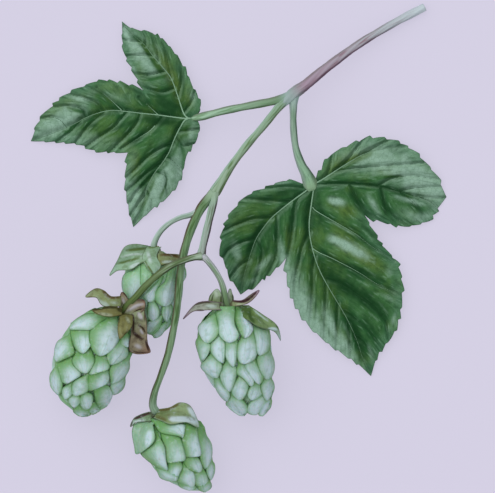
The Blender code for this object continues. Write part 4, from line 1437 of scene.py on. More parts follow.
@dataclass
class Cone:
    """A spike of papery scales, which overlap from its base towards its tip."""

    name: str
    base: tuple[float, float, float]  # as (u, v, height in mm), like the next two
    middle: tuple[float, float, float]
    tip: tuple[float, float, float]
    radius: float  # px, at its widest place
    waist: float  # below 1, so that the widest place is nearer to the base
    scales: list[Scale]
    bracts: list[Flap]
    flares: list[Flap] = field(default_factory=list)  # large scales that stand off
    depth: float = 1.0  # its height, as a share of its width
    fullness: float = 0.52  # how blunt its ends are, where 0.5 is an ellipse
    widen: float = 1.13  # how much wider a scale is than what shows of it
    side_reach: float = 0.95  # how far out the scales at the sides reach, as a share of the envelope
    hidden_scales: int = 60  # of the spiral that closes the sides and the underside
    hidden_reach: tuple[float, float] = (0.36, 0.21)  # how far along the cone the first and the last run
    shoulder: float = 0.18  # how much less of the envelope the first of them reach
    highlight_lift: float = 0.0  # how much painted highlight is added to all its scales, or taken off where negative
    fresh: float = 0.0  # how much greener they are
    wave_mm: float = 0.12  # how far a scale waves from side to side
    stand_off_mm: float = 1.2  # how far a shown scale may stand off from the envelope, sideways
    shell_mm: float = 0.16
    rows: int = 18
    columns: int = 13
    tree: KDTree | None = None  # of the places that the chart of the upper side shows at

    def __post_init__(self) -> None:
        """Works out the bent axis."""
        self.start, middle, self.end = (on_table(place)[0] for place in (self.base, self.middle, self.tip))
        self.pull = 2 * middle - (self.start + self.end) / 2
        self.length = float(np.linalg.norm(self.end - self.start))
        self.dice = np.random.default_rng(SEED + len(self.name) * 13)
        self.share = np.linspace(0, NEAR_TIP, self.rows) ** 0.85

    def envelope(self, t: Points) -> Points:
        """The outer radius in metres at a share t of the way from base to tip."""
        t = np.clip(t, 0.02, NEAR_TIP)
        return self.radius * SCALE * np.sin(math.pi * t**self.waist) ** self.fullness

    def point(self, t: Points, radius: Points, turn: Points) -> Points:
        """Places on the cone.

        Args:
            t: how far along the bent axis, from 0 at the base to 1 at the tip.
            radius: how far out, in metres.
            turn: how far round from straight up, in radians.

        Returns:
            Points in metres, in the arguments' shape with one more axis.
        """
        t = np.clip(t, 0, 1)[..., None]
        centre = self.start * (1 - t) ** 2 + self.pull * 2 * t * (1 - t) + self.end * t**2
        ahead = unit((self.pull - self.start) * (1 - t) + (self.end - self.pull) * t)
        side = unit(np.cross(ahead, (0, 0, 1.0)))
        up = np.cross(side, ahead) * self.depth
        return centre + (side * np.sin(turn)[..., None] + up * np.cos(turn)[..., None]) * radius[..., None]

    def seen(self, spots: Points) -> Points:
        """The places on the envelope at some (t, turn), in metres."""
        return self.point(spots[..., 0], self.envelope(spots[..., 0]), spots[..., 1])

    def locate(self, places: Points) -> Points:
        """The (t, turn) on the cone's upper side that show at some pixels.

        Args:
            places: rows of (u, v).

        Returns:
            Rows of (t, turn), from the nearest point of a chart and one step closer in.
        """
        rows, widest = 160, 88  # of the chart: how many rows, and degrees to each side
        steps = np.array([1 / rows, math.radians(1)])
        around = np.arange(-widest, widest + 1) * steps[1]
        t, turn = np.meshgrid(np.arange(rows + 1) * steps[0], around, indexing="ij")
        chart = np.column_stack([t.ravel(), turn.ravel()])
        if self.tree is None:
            self.tree = KDTree(len(chart))
            for number, place in enumerate(self.seen(chart)):
                self.tree.insert((*place[:2], 0), number)
            self.tree.balance()
        wanted = flat_on_table(places)
        nearest = chart[[self.tree.find((*place, 0))[1] for place in wanted]]
        at = self.seen(nearest)[:, :2]
        slopes = [self.seen(nearest + steps * axis)[:, :2] - at for axis in np.eye(2)]
        gap = wanted - at
        area = slopes[0][:, 0] * slopes[1][:, 1] - slopes[0][:, 1] * slopes[1][:, 0]
        area = np.where(abs(area) < 1e-12, 1e-12, area)
        along = (gap[:, 0] * slopes[1][:, 1] - gap[:, 1] * slopes[1][:, 0]) / area
        round_it = (slopes[0][:, 0] * gap[:, 1] - slopes[0][:, 1] * gap[:, 0]) / area
        most = 0.6  # of a step, or the next point of the chart would be nearer
        return nearest + np.clip(np.column_stack([along, round_it]), -most, most) * steps

    def top(self, places: Points) -> Points:
        """How high the cone reaches at some pixels.

        Args:
            places: rows of (u, v).

        Returns:
            Heights in mm, which fall away fast outside the cone.
        """
        fall = 6  # metres down for each metre outside
        seen = self.seen(self.locate(places))
        outside = np.linalg.norm(flat_on_table(places) - seen[:, :2], axis=1)
        return (seen[:, 2] - fall * outside) / MM

    def spread(self, sides: tuple[Points, Points], widen: float, stretch: Points) -> Points:
        """A grid of places between two sides.

        Args:
            sides: places from the root to the tip of each side.
            widen: how much wider the grid is than the gap between the sides.
            stretch: what the two coordinates are multiplied by to measure along a side.

        Returns:
            Rows of columns of places.
        """
        runs = [(side, run_along(side * stretch)) for side in sides]
        found = (along_line(side, run, self.share * run[-1]) for side, run in runs)
        return rungs(*found, np.linspace(-widen, widen, self.columns))

    def lay(
        self, skin: Skin, spots: Points, nudge: Points, scale: Scale,
        sink: float | Points, top: float | Points,
    ) -> None:
        """Adds one scale to the skin.

        Args:
            skin: what it is added to.
            spots: a grid of (t, turn), from its root to its tip and from its left side to its right.
            nudge: what is added to the x and y of each, in metres.
            scale: how it swells and leans, and its looks.
            sink: how far out its root lies, as a share of the envelope, for all rows or for each.
            top: how far out its tip lies, in the same way.
        """
        t, turn = spots[..., 0], spots[..., 1]
        along, across = self.share[:, None], np.linspace(-1, 1, self.columns)[None]
        about_a_turn = 6.28  # radians
        reach = self.envelope(t)
        base = self.point(t, reach, turn)
        half = np.linalg.norm(base[:, -1] - base[:, 0], axis=1)[:, None] / 2

        bent_in = 0.05 * ease(along, 0.86, 1.0)  # at its very tip
        out = sink + (top - sink) * along**0.8 - bent_in
        swell = scale.puff * half * (1 - abs(across) ** 2.4) * np.sin(math.pi * along**0.8) ** 0.5
        tilt = scale.lean * half * across * ease(along, 0.05, 0.4)
        phase = 2 * math.pi * (across * 1.3 + along * 0.5) + self.dice.uniform(0, about_a_turn)
        radius = reach * out + swell + tilt + self.wave_mm * MM * np.sin(phase) * ease(along, 0.1, 0.5)
        raised = self.point(t, radius, turn) - base
        sideways, upward = 0.6, 0.3  # less of it goes sideways and more upwards, to keep the outline
        points = base + raised * (sideways, sideways, 1.0)
        points[..., 2] += upward * abs(np.sin(turn)) * (radius - reach)
        points[..., :2] += nudge
        points = points.reshape(-1, 3)
        floor, least, pressed = 0.35 * MM, 0.2 * MM, 0.02  # the table presses the underside flat
        height = points[:, 2]
        points[:, 2] = np.maximum(np.where(height < floor, floor + pressed * (height - floor), height), least)

        middle = base[:, self.columns // 2]
        left = (run_along(middle)[-1] - run_along(middle) + 0.3 * MM)[:, None]
        # Painted light and shade: a pale highlight on its swell, green shade away from it and at its covered
        # root, and dark lines of shade along its edges, fainter towards its tip; where it turns away at the
        # sides, the lines fade and a little painted light is added.
        away = abs(across - scale.light) + 0 * along
        rim = np.minimum((1 - abs(across)) * half, left) / MM
        line_mm = 0.78 + 0.36 * np.sin(5 * across + 7 * along + self.dice.uniform(0, about_a_turn))
        turned_away = ease(abs(np.sin(turn)), 0.84, 1.0)
        line = np.clip(1 - rim / line_mm, 0, 1) * np.clip(0.15 + 0.65 * away, 0.3, 1)
        line = line * (1 - 0.55 * ease(along, 0.5, 0.95)) * (1 - 0.4 * turned_away)
        pale = np.exp(-(((across - scale.light) / 0.7) ** 2) - ((along - 0.7) / 0.34) ** 2) * scale.bloom
        pale = np.maximum(pale, 0.3 * turned_away * ease(along, 0.3, 0.8)) + self.highlight_lift
        skin.add(
            points, grid_faces(self.rows, self.columns)[:, ::-1],
            along=np.repeat(self.share, self.columns), across=np.tile(across[0], self.rows),
            rim=rim.reshape(-1), line=line.reshape(-1), tone=self.dice.uniform(0, 1),
            pale=pale.reshape(-1), shade=np.clip(away - 0.45, 0, 1).reshape(-1),
            green=min(1.0, scale.green + self.fresh),
        )

    def add_core(self, skin: Skin) -> None:
        """Adds the green spindle that shows between scales."""
        rows, sides, least = 22, 24, 0.6 * MM
        around = np.arange(sides) * 2 * math.pi / sides
        t, turn = np.meshgrid(np.linspace(0.03, NEAR_TIP, rows), around, indexing="ij")
        slim = 0.76 - 0.1 * ease(t, 0.6, 0.9)  # as a share of the envelope
        closed = 1 - 0.94 * ease(t, 0.88, 0.97)  # at the tip, under the last scales
        core = self.point(t, self.envelope(t) * slim * closed, turn)
        core[..., 2] = np.maximum(core[..., 2], least)
        # painted like a covered root: green shade, with a little painted highlight
        paint = {"along": 0.1, "across": 0.0, "rim": 5.0, "line": 0.0, "tone": 0.8, "pale": 0.2, "shade": 0.5}
        skin.add_tube(core, **paint, green=0.3)

    def add_hidden(self, skin: Skin) -> None:
        """Adds a spiral of scales, which closes the sides and the underside."""
        golden = math.pi * (3 - math.sqrt(5))  # the turn from one scale to the next
        first, span = 0.03, 0.75  # where the first one starts, and how much farther on the last one does
        overhead = 0.55  # the cosine of how far round those lie that the shown ones cover
        slimmest = 0.4  # of the radius, so that the last ones don't wrap round the tip
        root_sink = 0.76
        share = np.linspace(0, 1, 24)
        widths = np.sin(math.pi * (0.14 + 0.86 * share) ** 1.55) ** 0.62  # blunt root, pointed tip
        for number in range(self.hidden_scales):
            place = number / (self.hidden_scales - 1)
            start = first + span * place
            reach = self.hidden_reach[0] + (self.hidden_reach[1] - self.hidden_reach[0]) * place
            middle = number * golden
            t = start + reach * share
            wide = 0.5 * widths * float(self.envelope(np.array([start + reach * 0.6]))[0])
            turn = wide / np.maximum(self.envelope(t), slimmest * self.radius * SCALE)
            sides = tuple(np.column_stack([t, middle + way * turn]) for way in (1, -1))
            above = math.cos(middle) > overhead
            # those under the shown scales get less painted highlight and more green painted shade
            bloom, green = (0.4, 0.5) if above else (0.6, 0.2)
            looks = Scale([], light=self.dice.uniform(-0.5, 0.5), bloom=bloom, green=green)
            spots = self.spread(sides, 1.0, np.array([self.length, self.radius * SCALE]))
            early, late = 1 - ease(start, 0.1, 0.45), ease(start, 0.5, 0.75)
            out = self.side_reach - self.shoulder * early - 0.13 * late
            cover = 0.87 - 0.09 * ease(start, 0.3, 0.65)  # how far out they may be under the shown ones
            closing = 1 - 0.8 * ease(spots[:, :1, 0], 0.89, NEAR_TIP)  # they close up at the cone's tip
            top = (cover if above else out) * closing
            self.lay(skin, spots, np.zeros(2), looks, min(cover, root_sink) * closing, top)

    def add_shown(self, skin: Skin) -> None:
        """Adds the scales that show from above, each with a root under the ones before it."""
        most, sink, top = self.stand_off_mm * MM, 0.88, 1.01
        tucked, flared = 0.35, 0.9  # how far back its hidden root goes, and how much wider it is there
        for scale in self.scales:
            sides = two_sides(scale.outline)
            corners, tip = np.array([side[0] for side in sides]), sides[0][-1]
            root = corners.mean(axis=0)
            hidden = root + tucked * (root - tip) + flared * (corners - root)
            whole = tuple(np.vstack([start, side]) for start, side in zip(hidden, sides))
            places = self.spread(whole, self.widen, np.ones(2))
            spots = self.locate(places.reshape(-1, 2)).reshape(places.shape)
            gap = flat_on_table(places.reshape(-1, 2)).reshape(places.shape) - self.seen(spots)[..., :2]
            far = np.linalg.norm(gap, axis=-1, keepdims=True)
            self.lay(skin, spots, gap * np.minimum(1, most / np.maximum(far, 1e-9)), scale, sink, top)

    def build_body(self) -> bpy.types.Object:
        """Makes the cone's scales and what shows of its inside, in place of its CAD node."""
        skin = Skin()
        self.add_core(skin)
        self.add_hidden(skin)
        self.add_shown(skin)
        for flare in self.flares:
            points, paint = flare.surface(self)
            # its washes become painted highlight and green painted shade, with dark painted lines of shade at
            # its edge
            line_mm = 0.5
            glow = paint.pop("glow")
            paint["along"] = 0.5 + 0.5 * paint["along"]
            skin.add(
                points, flare.faces(), **paint, line=0.7 * np.clip(1 - paint["rim"] / line_mm, 0, 1),
                tone=0.4, pale=np.clip(glow, 0, 1), shade=0.1, green=0.5 * np.clip(-glow, 0, 1),
            )
        coats = [SCALE_OUTER.material(), SCALE_INNER.material()]
        made = skin.build(f"{self.name}_scales", coats, self.shell_mm * MM)
        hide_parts(self.name)
        return made


LEFT_CONE = Cone(
    name="left_cone",
    base=(120.5, 310.5, 16.2), middle=(91.5, 361, 12.7), tip=(78, 414, 9.5),
    radius=41, waist=0.86, shoulder=0.32, side_reach=0.93,
    scales=[
        Scale([(105.7, 319.6), (92.1, 329.4), (92.8, 346.6), (100.7, 355.8), (113.6, 347.3),
               (120.4, 332.3), (117.5, 317.2)], light=0.4, bloom=1),
        Scale([(99.3, 312.7), (85.6, 313.9), (73.4, 321.5), (69.3, 328.5), (80.6, 329), (92.1, 328.2),
               (103.2, 319.6)], light=0.1),
        Scale([(70.1, 329.4), (72.7, 339.4), (77.7, 349.5), (84.2, 353.1), (90, 346.6), (91.7, 339.4),
               (91.7, 329.7)], light=0.2, bloom=0.9),
        Scale([(67, 334.8), (58.4, 340.9), (55.2, 350.9), (56.2, 361.3), (64.8, 358.1), (74.2, 352.1),
               (71.3, 339.4)], light=-0.3),
        Scale([(74.6, 353.8), (73.1, 361), (78.2, 368.4), (86.4, 373), (91.7, 368.4), (94.8, 361),
               (93.1, 353.8)], bloom=0.7),
        Scale([(108.3, 354.9), (109.8, 362.4), (109.3, 368.7), (101.4, 370.6), (91.1, 373.9),
               (92.5, 366.7), (95.7, 358.1)], bloom=0.8),
        Scale([(122.3, 338.3), (109.8, 350.6), (109, 359.5), (112.2, 365), (124.4, 358.7), (129, 352.4),
               (128, 340.2)], light=0.2, bloom=0.7),
        Scale([(56.2, 365.3), (60.5, 373.9), (63.1, 381.1), (67.7, 383.1), (74.9, 379.2), (80.9, 373.2),
               (73.4, 359.5)], light=0.2, bloom=0.9),
        Scale([(54.3, 366), (49.7, 373.9), (50.9, 385.4), (57.2, 394.6), (61.5, 391.1), (62.4, 379.6),
               (59.8, 368.9)], light=-0.1),
        Scale([(87.1, 373.9), (74.7, 381.1), (73.1, 392.6), (76.7, 395.7), (85.6, 392.3), (89.1, 388.3),
               (89.7, 376.8)]),
        Scale([(90.2, 373.9), (88.9, 385.4), (91.4, 390), (101.4, 386.4), (108.9, 381.1), (110.3, 371),
               (107.2, 367.9)], light=0.3, bloom=0.8),
        Scale([(129.4, 355.5), (112.6, 366.7), (111.9, 379.6), (112.9, 384.5), (124.7, 376.1),
               (130.4, 368.2), (131.3, 359.5)], light=0.3, bloom=0.8),
        Scale([(126.1, 376.1), (112.6, 384.7), (113.4, 392.9), (115.1, 395.2), (122.7, 389.7),
               (126.3, 384), (127.3, 377.9)]),
        Scale([(95, 389), (97.1, 400.5), (102.2, 409.2), (108.9, 404.1), (112.9, 395.4), (112.5, 388.3),
               (107.2, 385.1)], light=0.3, bloom=0.9),
        Scale([(70.1, 382.8), (62.7, 388.3), (63.8, 397.6), (66.3, 399), (70.1, 396.9), (72.7, 392.6),
               (72.7, 384.7)]),
        Scale([(73.4, 392.6), (68.4, 399.7), (74.5, 407.5), (81, 401.2), (79.9, 394.7)]),
        Scale([(82.5, 393.3), (80.3, 400), (83.5, 408.4), (90, 408.4), (93.1, 401.9), (92.8, 394.7),
               (87.1, 391.4)]),
        Scale([(76.3, 406.6), (74.4, 412), (81, 416.1), (90, 415.3), (90.2, 408.4)]),
        Scale([(91.1, 406.2), (89.7, 412), (95, 415.3), (100.7, 409.8), (99.3, 404.1)]),
        Scale([(122.7, 337.3), (122.3, 343.7), (128.7, 347.3), (131.9, 340.9), (130.2, 334.4)]),
    ],
    bracts=[
        Flap("outer_left", [
            (121.8, 296.1), (111.5, 296.1), (104.3, 290.3), (95.7, 288.6), (85.9, 296.6), (97.1, 297.2),
            (101.7, 303.8), (107.2, 306.4), (121.3, 306.1)
        ], (21, 23, 21), BractLook.OLIVE, [
            Wash([(104, 291), (110, 296), (119, 297)], 2.2, -1),
            Wash([(95, 298.5), (101, 303), (108, 305.5)], 3.4, 1),
            Wash([(111, 302), (118, 303)], 2.4, 0.5),
            Wash([(88, 297), (95, 296.5)], 1.2, -0.6),
        ], cup=0.35),
        Flap("inner_left", [
            (123, 307.8), (110.1, 306.1), (101.4, 308.3), (93.3, 309.7), (99.3, 314.2), (110.1, 316.5),
            (122.3, 314.7)
        ], (22.2, 24.5, 25.5), BractLook.BROWN, [
            Wash([(95, 309.5), (108, 307), (121, 307.5)], 1.6, -1),
            Wash([(119, 309), (123, 311)], 2, -1),
            Wash([(100, 313.5), (112, 315)], 2, 0.8),
        ], cup=0.3),
        Flap("upper", [
            (119.8, 308.1), (119.8, 298.5), (122.7, 291.8), (128.4, 298.1), (130.4, 306.1)
        ], (19, 18.5, 18), BractLook.FLUSHED, [
            Wash([(120, 296), (120, 307)], 1.2, -0.9),
            Wash([(123, 291.5), (127, 296), (129.5, 300)], 1, -0.9),
            Wash([(123, 298), (125, 304)], 1.8, 0.6),
        ]),
        Flap("upper_right", [
            (124.4, 312.9), (130.9, 303.5), (138.8, 298.9), (145.1, 301), (144.8, 308.6),
            (138.8, 314.3), (131.3, 318.2)
        ], (19.6, 20.4, 20.5), BractLook.FLUSHED, [
            Wash([(128, 311), (137, 305.5), (143, 304)], 2, 0.7),
            Wash([(132, 316), (137, 311), (144, 308)], 1.3, -0.8),
            Wash([(137, 300.5), (145, 300.5)], 1, -0.5),
        ]),
        Flap("front", [
            (119.8, 315.3), (118.4, 325.1), (118.7, 332.3), (120.8, 338.6), (126.9, 333),
            (133, 325.1), (133.6, 315.4)
        ], (22.3, 26.8, 28.2), BractLook.BROWN, [
            Wash([(118.5, 313), (119, 322)], 1.6, -1),
            Wash([(127, 317), (130, 322)], 2, 0.7),
            Wash([(124, 322), (124, 328)], 2, -0.35),
            Wash([(121, 331), (123, 335)], 1.5, 0.3),
            Wash([(129, 329), (123, 338)], 1, -0.6),
        ], cup=-0.35),
        Flap("right", [
            (133.3, 314.7), (131.9, 330.8), (131, 351.2), (150.3, 352.6), (147.7, 342.3),
            (147.4, 325.1), (144.8, 309)
        ], (20.5, 20.5, 18), BractLook.FLUSHED, [
            Wash([(133.5, 313), (133.8, 322), (133.5, 334)], 1.2, -0.9),
            Wash([(145.5, 309), (145.2, 321)], 1.2, -0.7),
            Wash([(139, 313), (142, 318)], 2.2, 1),
            Wash([(134, 323), (142, 323.5)], 1.6, -0.35),
            Wash([(139, 325), (143, 328), (146, 333)], 1, -0.9),
            Wash([(141, 329), (143.5, 333)], 1.6, 0.95),
            Wash([(133, 331), (137, 335), (142.5, 338.5)], 1.6, -1),
            Wash([(136, 345), (141, 347)], 3, 0.6),
            Wash([(146, 340), (149, 350.5)], 1.2, -0.9),
            Wash([(132, 350), (138, 352), (148, 352)], 0.9, -0.7),
            Wash([(145, 338), (140, 340)], 1.2, -0.6),
        ], cup=0.1, fold_mm=1),
    ],
)
RIGHT_CONE = Cone(
    name="right_cone",
    base=(227.5, 307, 15.3), middle=(235.5, 352, 12.5), tip=(259.5, 416, 9.5),
    radius=39.5, waist=0.82, highlight_lift=0.1,
    scales=[
        Scale([(214.7, 310.9), (218.1, 321.5), (220.6, 335.6), (230.1, 342.6), (238.4, 335.3),
               (234.3, 322.9), (235, 309.5)], bloom=1.1),
        Scale([(237.1, 308.1), (235.9, 318), (239, 327.8), (244.6, 338.1), (252.9, 328.5), (248, 315.9),
               (246.9, 306.7)], light=0.5, bloom=1),
        Scale([(210.3, 315.9), (199.7, 324.3), (198.8, 331.6), (206.1, 343.1), (214.1, 338.7),
               (218.6, 330), (216, 318)], light=-0.2, bloom=0.9),
        Scale([(197.6, 336.3), (195, 342.6), (198.1, 353.2), (201.9, 361.3), (207.8, 353.2),
               (209.2, 344.1), (205.4, 340.5)], light=0.3, bloom=0.5),
        Scale([(215.3, 334.9), (210, 344.1), (212.4, 354.6), (222.3, 363.1), (224.3, 355.3),
               (224, 342.6), (219.5, 335.3)], light=0.1, bloom=0.9),
        Scale([(224.9, 341.2), (224.6, 352.5), (228.4, 361.3), (233.2, 367), (236, 361), (237.8, 349.7),
               (238.1, 341.9)]),
        Scale([(242.1, 337), (238.3, 345.5), (238.7, 358.9), (243.8, 363.8), (253.6, 359.3),
               (257.6, 349.7), (257.3, 334.2)], bloom=1.1),
        Scale([(254, 325.7), (256.6, 338.4), (257.3, 350.4), (260.7, 355.3), (268.6, 350), (271, 338.4),
               (270.3, 328.5)], light=-0.2, bloom=0.8),
        Scale([(210.3, 352.5), (203, 361), (201.6, 368.7), (215.5, 378.2), (219.8, 372.3),
               (221.2, 365.2), (217, 357.5)]),
        Scale([(225.1, 361.7), (219.9, 372.3), (223.4, 385.2), (229.6, 391.7), (234.6, 380.7),
               (236.4, 369.4), (233.3, 363.1)]),
        Scale([(238.5, 363.1), (236.1, 372.3), (243.5, 378.6), (250.8, 386.1), (253.6, 380.7),
               (248, 369.4), (244.9, 363.8)], light=0.2),
        Scale([(250.5, 360.3), (245.3, 365.2), (251.9, 377.2), (260, 384.1), (263.5, 375.1),
               (260.7, 365.2), (256.9, 358.9)], light=-0.4),
        Scale([(264.6, 350.4), (258, 358.2), (261.5, 372.6), (267.7, 379.7), (273.4, 372.3),
               (274.5, 361), (272, 350.4)], light=0.1, bloom=0.6),
        Scale([(213.1, 377.9), (215, 388.1), (222.3, 398.1), (227.5, 401.6), (229.4, 393.4),
               (224, 386.4), (218.8, 378.6)]),
        Scale([(239.2, 375.1), (233, 385), (232.6, 393.7), (239.9, 400.2), (245.9, 393.4), (248, 383.6),
               (244.9, 377.2)]),
        Scale([(251.9, 383.8), (247.4, 393.4), (252.2, 400.2), (261.8, 393.4), (261.8, 382.8)]),
        Scale([(265.3, 377.9), (261.5, 386.4), (263.9, 396.8), (267.4, 401), (273.5, 391.4),
               (274.5, 383.6), (272.4, 377.2)]),
        Scale([(229.4, 395.5), (225.6, 404.7), (234.7, 413.5), (243.5, 416), (247.7, 408.9),
               (242.3, 400.2), (235, 396.5)], light=-0.1, bloom=0.9),
        Scale([(262.5, 393.4), (249.4, 403.3), (247.4, 412), (256.2, 414.9), (263.4, 407.1),
               (266.8, 400.4), (265.8, 394.1)]),
        Scale([(270.3, 397.7), (262.1, 404.4), (258.7, 414.2), (263.2, 415.7), (269.1, 408.9),
               (272, 401.9), (272, 397.7)]),
    ],
    bracts=[
        Flap("left", [
            (222.6, 302.6), (206.8, 301.2), (194.8, 304.6), (182.8, 319.2), (193, 311.3), (204, 310.2),
            (221.9, 309.4)
        ], (19, 20.5, 17), BractLook.MAUVE, [
            Wash([(195, 304.5), (204, 302), (211, 302.5)], 1.4, -0.95),
            Wash([(220, 303), (221, 308)], 1.6, -0.9),
            Wash([(207, 306), (216, 306)], 2.2, 0.8),
            Wash([(197, 309.5), (210, 310.5)], 0.8, -0.7),
        ], cup=0.4),
        Flap("right", [
            (232.5, 300.3), (242.1, 300.3), (250.5, 294.7), (259.3, 289.9), (254.8, 297.1),
            (246.3, 303.7), (233.3, 306.5)
        ], (18, 18.5, 19), BractLook.PURPLE, [
            Wash([(233, 300.8), (243, 301.4), (250, 298), (256, 292.5)], 1.4, -1),
            Wash([(236, 304), (245, 303.8)], 1.1, 0.7),
        ], cup=0.4),
        Flap("drooping", [
            (248.8, 305), (261.8, 313.5), (277.3, 325.4), (280.7, 341), (274.2, 331.6), (258.7, 326.3),
            (248, 319.2)
        ], (17, 17.5, 12), BractLook.HOOKED, [
            Wash([(249.5, 308), (250, 316), (254, 322)], 1.8, -0.9),
            Wash([(253, 309), (260, 315), (268, 321)], 1.3, 0.5),
            Wash([(255, 317), (262, 321)], 1.2, -0.35),
            Wash([(269, 328.5), (277, 329)], 1.8, 1),
            Wash([(276, 325), (279, 330)], 0.9, -0.8),
        ], cup=-0.5, lie_mm=1.5),
        Flap("upper_left", [
            (222.6, 306), (222, 295.4), (217, 288.5), (210, 295.4), (207.9, 303.4)
        ], (17.4, 17.8, 17), BractLook.PALE, [
            Wash([(214, 289.5), (209.5, 297), (208, 303)], 1, -0.8),
            Wash([(213.5, 294), (211.5, 303)], 0.8, -0.7),
            Wash([(216, 291), (217, 297)], 2.2, 0.7),
            Wash([(221.5, 296), (221, 306)], 1.4, -0.9),
            Wash([(215, 302), (219, 304)], 1.5, -0.5),
        ]),
        Flap("upper_right", [
            (233.2, 308.8), (233.2, 296.8), (230.1, 288.5), (227, 296.1), (226.3, 308.8)
        ], (14, 13.4, 13), BractLook.PALE, [
            Wash([(232.6, 291), (233, 303)], 0.9, -0.9),
            Wash([(229, 291), (229.5, 298)], 1.6, 0.6),
            Wash([(226, 296), (225.5, 306)], 0.9, -0.7),
        ]),
    ],
)
BOTTOM_CONE = Cone(
    name="bottom_cone",
    base=(156.5, 413.5, 12.3), middle=(176.4, 447.6, 11), tip=(206.5, 491, 9.5),
    radius=34, waist=0.8, shoulder=0.2, side_reach=0.87, highlight_lift=-0.08,
    scales=[
        Scale([(152.1, 444), (139.9, 453.4), (154, 464.9), (167.2, 470.8), (165.4, 458.4),
               (163.5, 445.9), (159, 437.1)], light=0.5, bloom=0.9, lean=0.1),
        Scale([(160.9, 431.5), (163.6, 444), (167, 461.5), (175.2, 459.9), (184.5, 459.3),
               (182.9, 445.9), (179, 434.9)], light=0.3, bloom=0.7, lean=0.1),
        Scale([(154.6, 423.1), (161.5, 431.8), (178.4, 434.9), (183.2, 437.4), (184.8, 430.2),
               (184.3, 423.7), (172.8, 422.8)], light=0.3, bloom=0.9),
        Scale([(184.9, 423.4), (182.9, 440.2), (185.4, 455.6), (192.8, 455.6), (200.2, 454.3),
               (198.5, 437.8), (197.8, 428.7)], light=0.5, bloom=1, lean=0.1),
        Scale([(199, 430.6), (199.5, 445.9), (202.1, 462.1), (206.6, 468.7), (211.6, 457.8), (212, 444),
               (207.1, 433.7)], light=0.3, bloom=0.8),
        Scale([(155.2, 464.3), (157, 472.4), (161.5, 478.7), (175.2, 481.1), (177.4, 475.2),
               (167.8, 470.9), (159.3, 465.6)], light=0.1, bloom=0.7),
        Scale([(167.8, 462.8), (167, 470.2), (169, 477.4), (175.8, 480.9), (179.2, 473.4),
               (182.3, 465.9), (180.2, 460.6)], light=0.2, bloom=1),
        Scale([(183.4, 461.2), (182, 469), (177, 480.6), (190.4, 486.8), (194.5, 484), (193.6, 472.8),
               (187.1, 464.3)], light=0.4, bloom=0.9, lean=0.1),
        Scale([(186.5, 455.6), (183.9, 459), (189, 468.1), (198.1, 471.8), (201.7, 469.6),
               (201.1, 461.5), (197.1, 454.9)], light=0.4, bloom=0.8),
        Scale([(194.6, 470.2), (193.2, 477.1), (195.8, 483.7), (202.2, 486.8), (207.9, 482.9),
               (207.3, 474), (204.6, 469.3)], light=0.2, bloom=0.7),
        Scale([(209.6, 459.6), (207, 467.8), (208.2, 475.6), (211.5, 479.9), (214.8, 472.1),
               (215.1, 464), (213.4, 460.4)]),
        Scale([(178.1, 481.5), (180.2, 487.1), (190.2, 490.2), (195.9, 487.1), (192.8, 482.8)]),
        Scale([(198.7, 481.5), (198.4, 488.4), (204.6, 491.9), (211, 487.1), (209.6, 479)],
              light=0.3, bloom=0.6),
    ],
    bracts=[
        Flap("cap", [
            (159.8, 408.6), (170.2, 406.7), (180.2, 401.9), (191.5, 406.4), (199.3, 426.2),
            (186.5, 421.5), (171.5, 423.4), (162.8, 420.2), (154, 417.4)
        ], (13.5, 16, 13), BractLook.CAPPED, [
            Wash([(159, 410), (170, 408), (180, 403)], 1.6, -0.95),
            Wash([(170, 418.5), (183, 418.5), (197, 421)], 3.2, 1),
            Wash([(189, 407), (196, 417)], 3.4, 0.75),
            Wash([(156, 416), (163, 418), (169, 421)], 2.4, -0.5),
            Wash([(176, 412), (186, 411)], 2.4, -0.25),
        ], cup=-0.35),
        Flap("left", [
            (149.1, 411.7), (140.9, 414.5), (133.9, 418.6), (130.4, 426.8), (136.5, 422.2),
            (144.6, 421.6), (150.6, 420.6)
        ], (13, 13.5, 12), BractLook.HEMMED, [
            Wash([(149, 413), (141, 416), (134.5, 419)], 1.6, -1),
            Wash([(135, 421), (144, 420)], 1.6, 0.9),
            Wash([(130.5, 427), (133, 421)], 0.8, -0.7),
        ], cup=0.3),
    ],
    flares=[
        Flap("flare", [
            (133.4, 424.3), (132, 432.8), (134.2, 445.9), (136.7, 454.4), (149, 446.6), (155.4, 437.8),
            (153.4, 424.3)
        ], (13, 13, 9), BractLook.FRESH, [
            Wash([(150, 432), (148, 444)], 3.5, 1),
            Wash([(132, 425), (142, 426), (150, 425)], 1.8, -0.8),
            Wash([(134, 446), (136.5, 454)], 1, -0.8),
            Wash([(140, 453), (149, 448)], 1, -0.6),
        ], cup=-0.45),
    ],
)
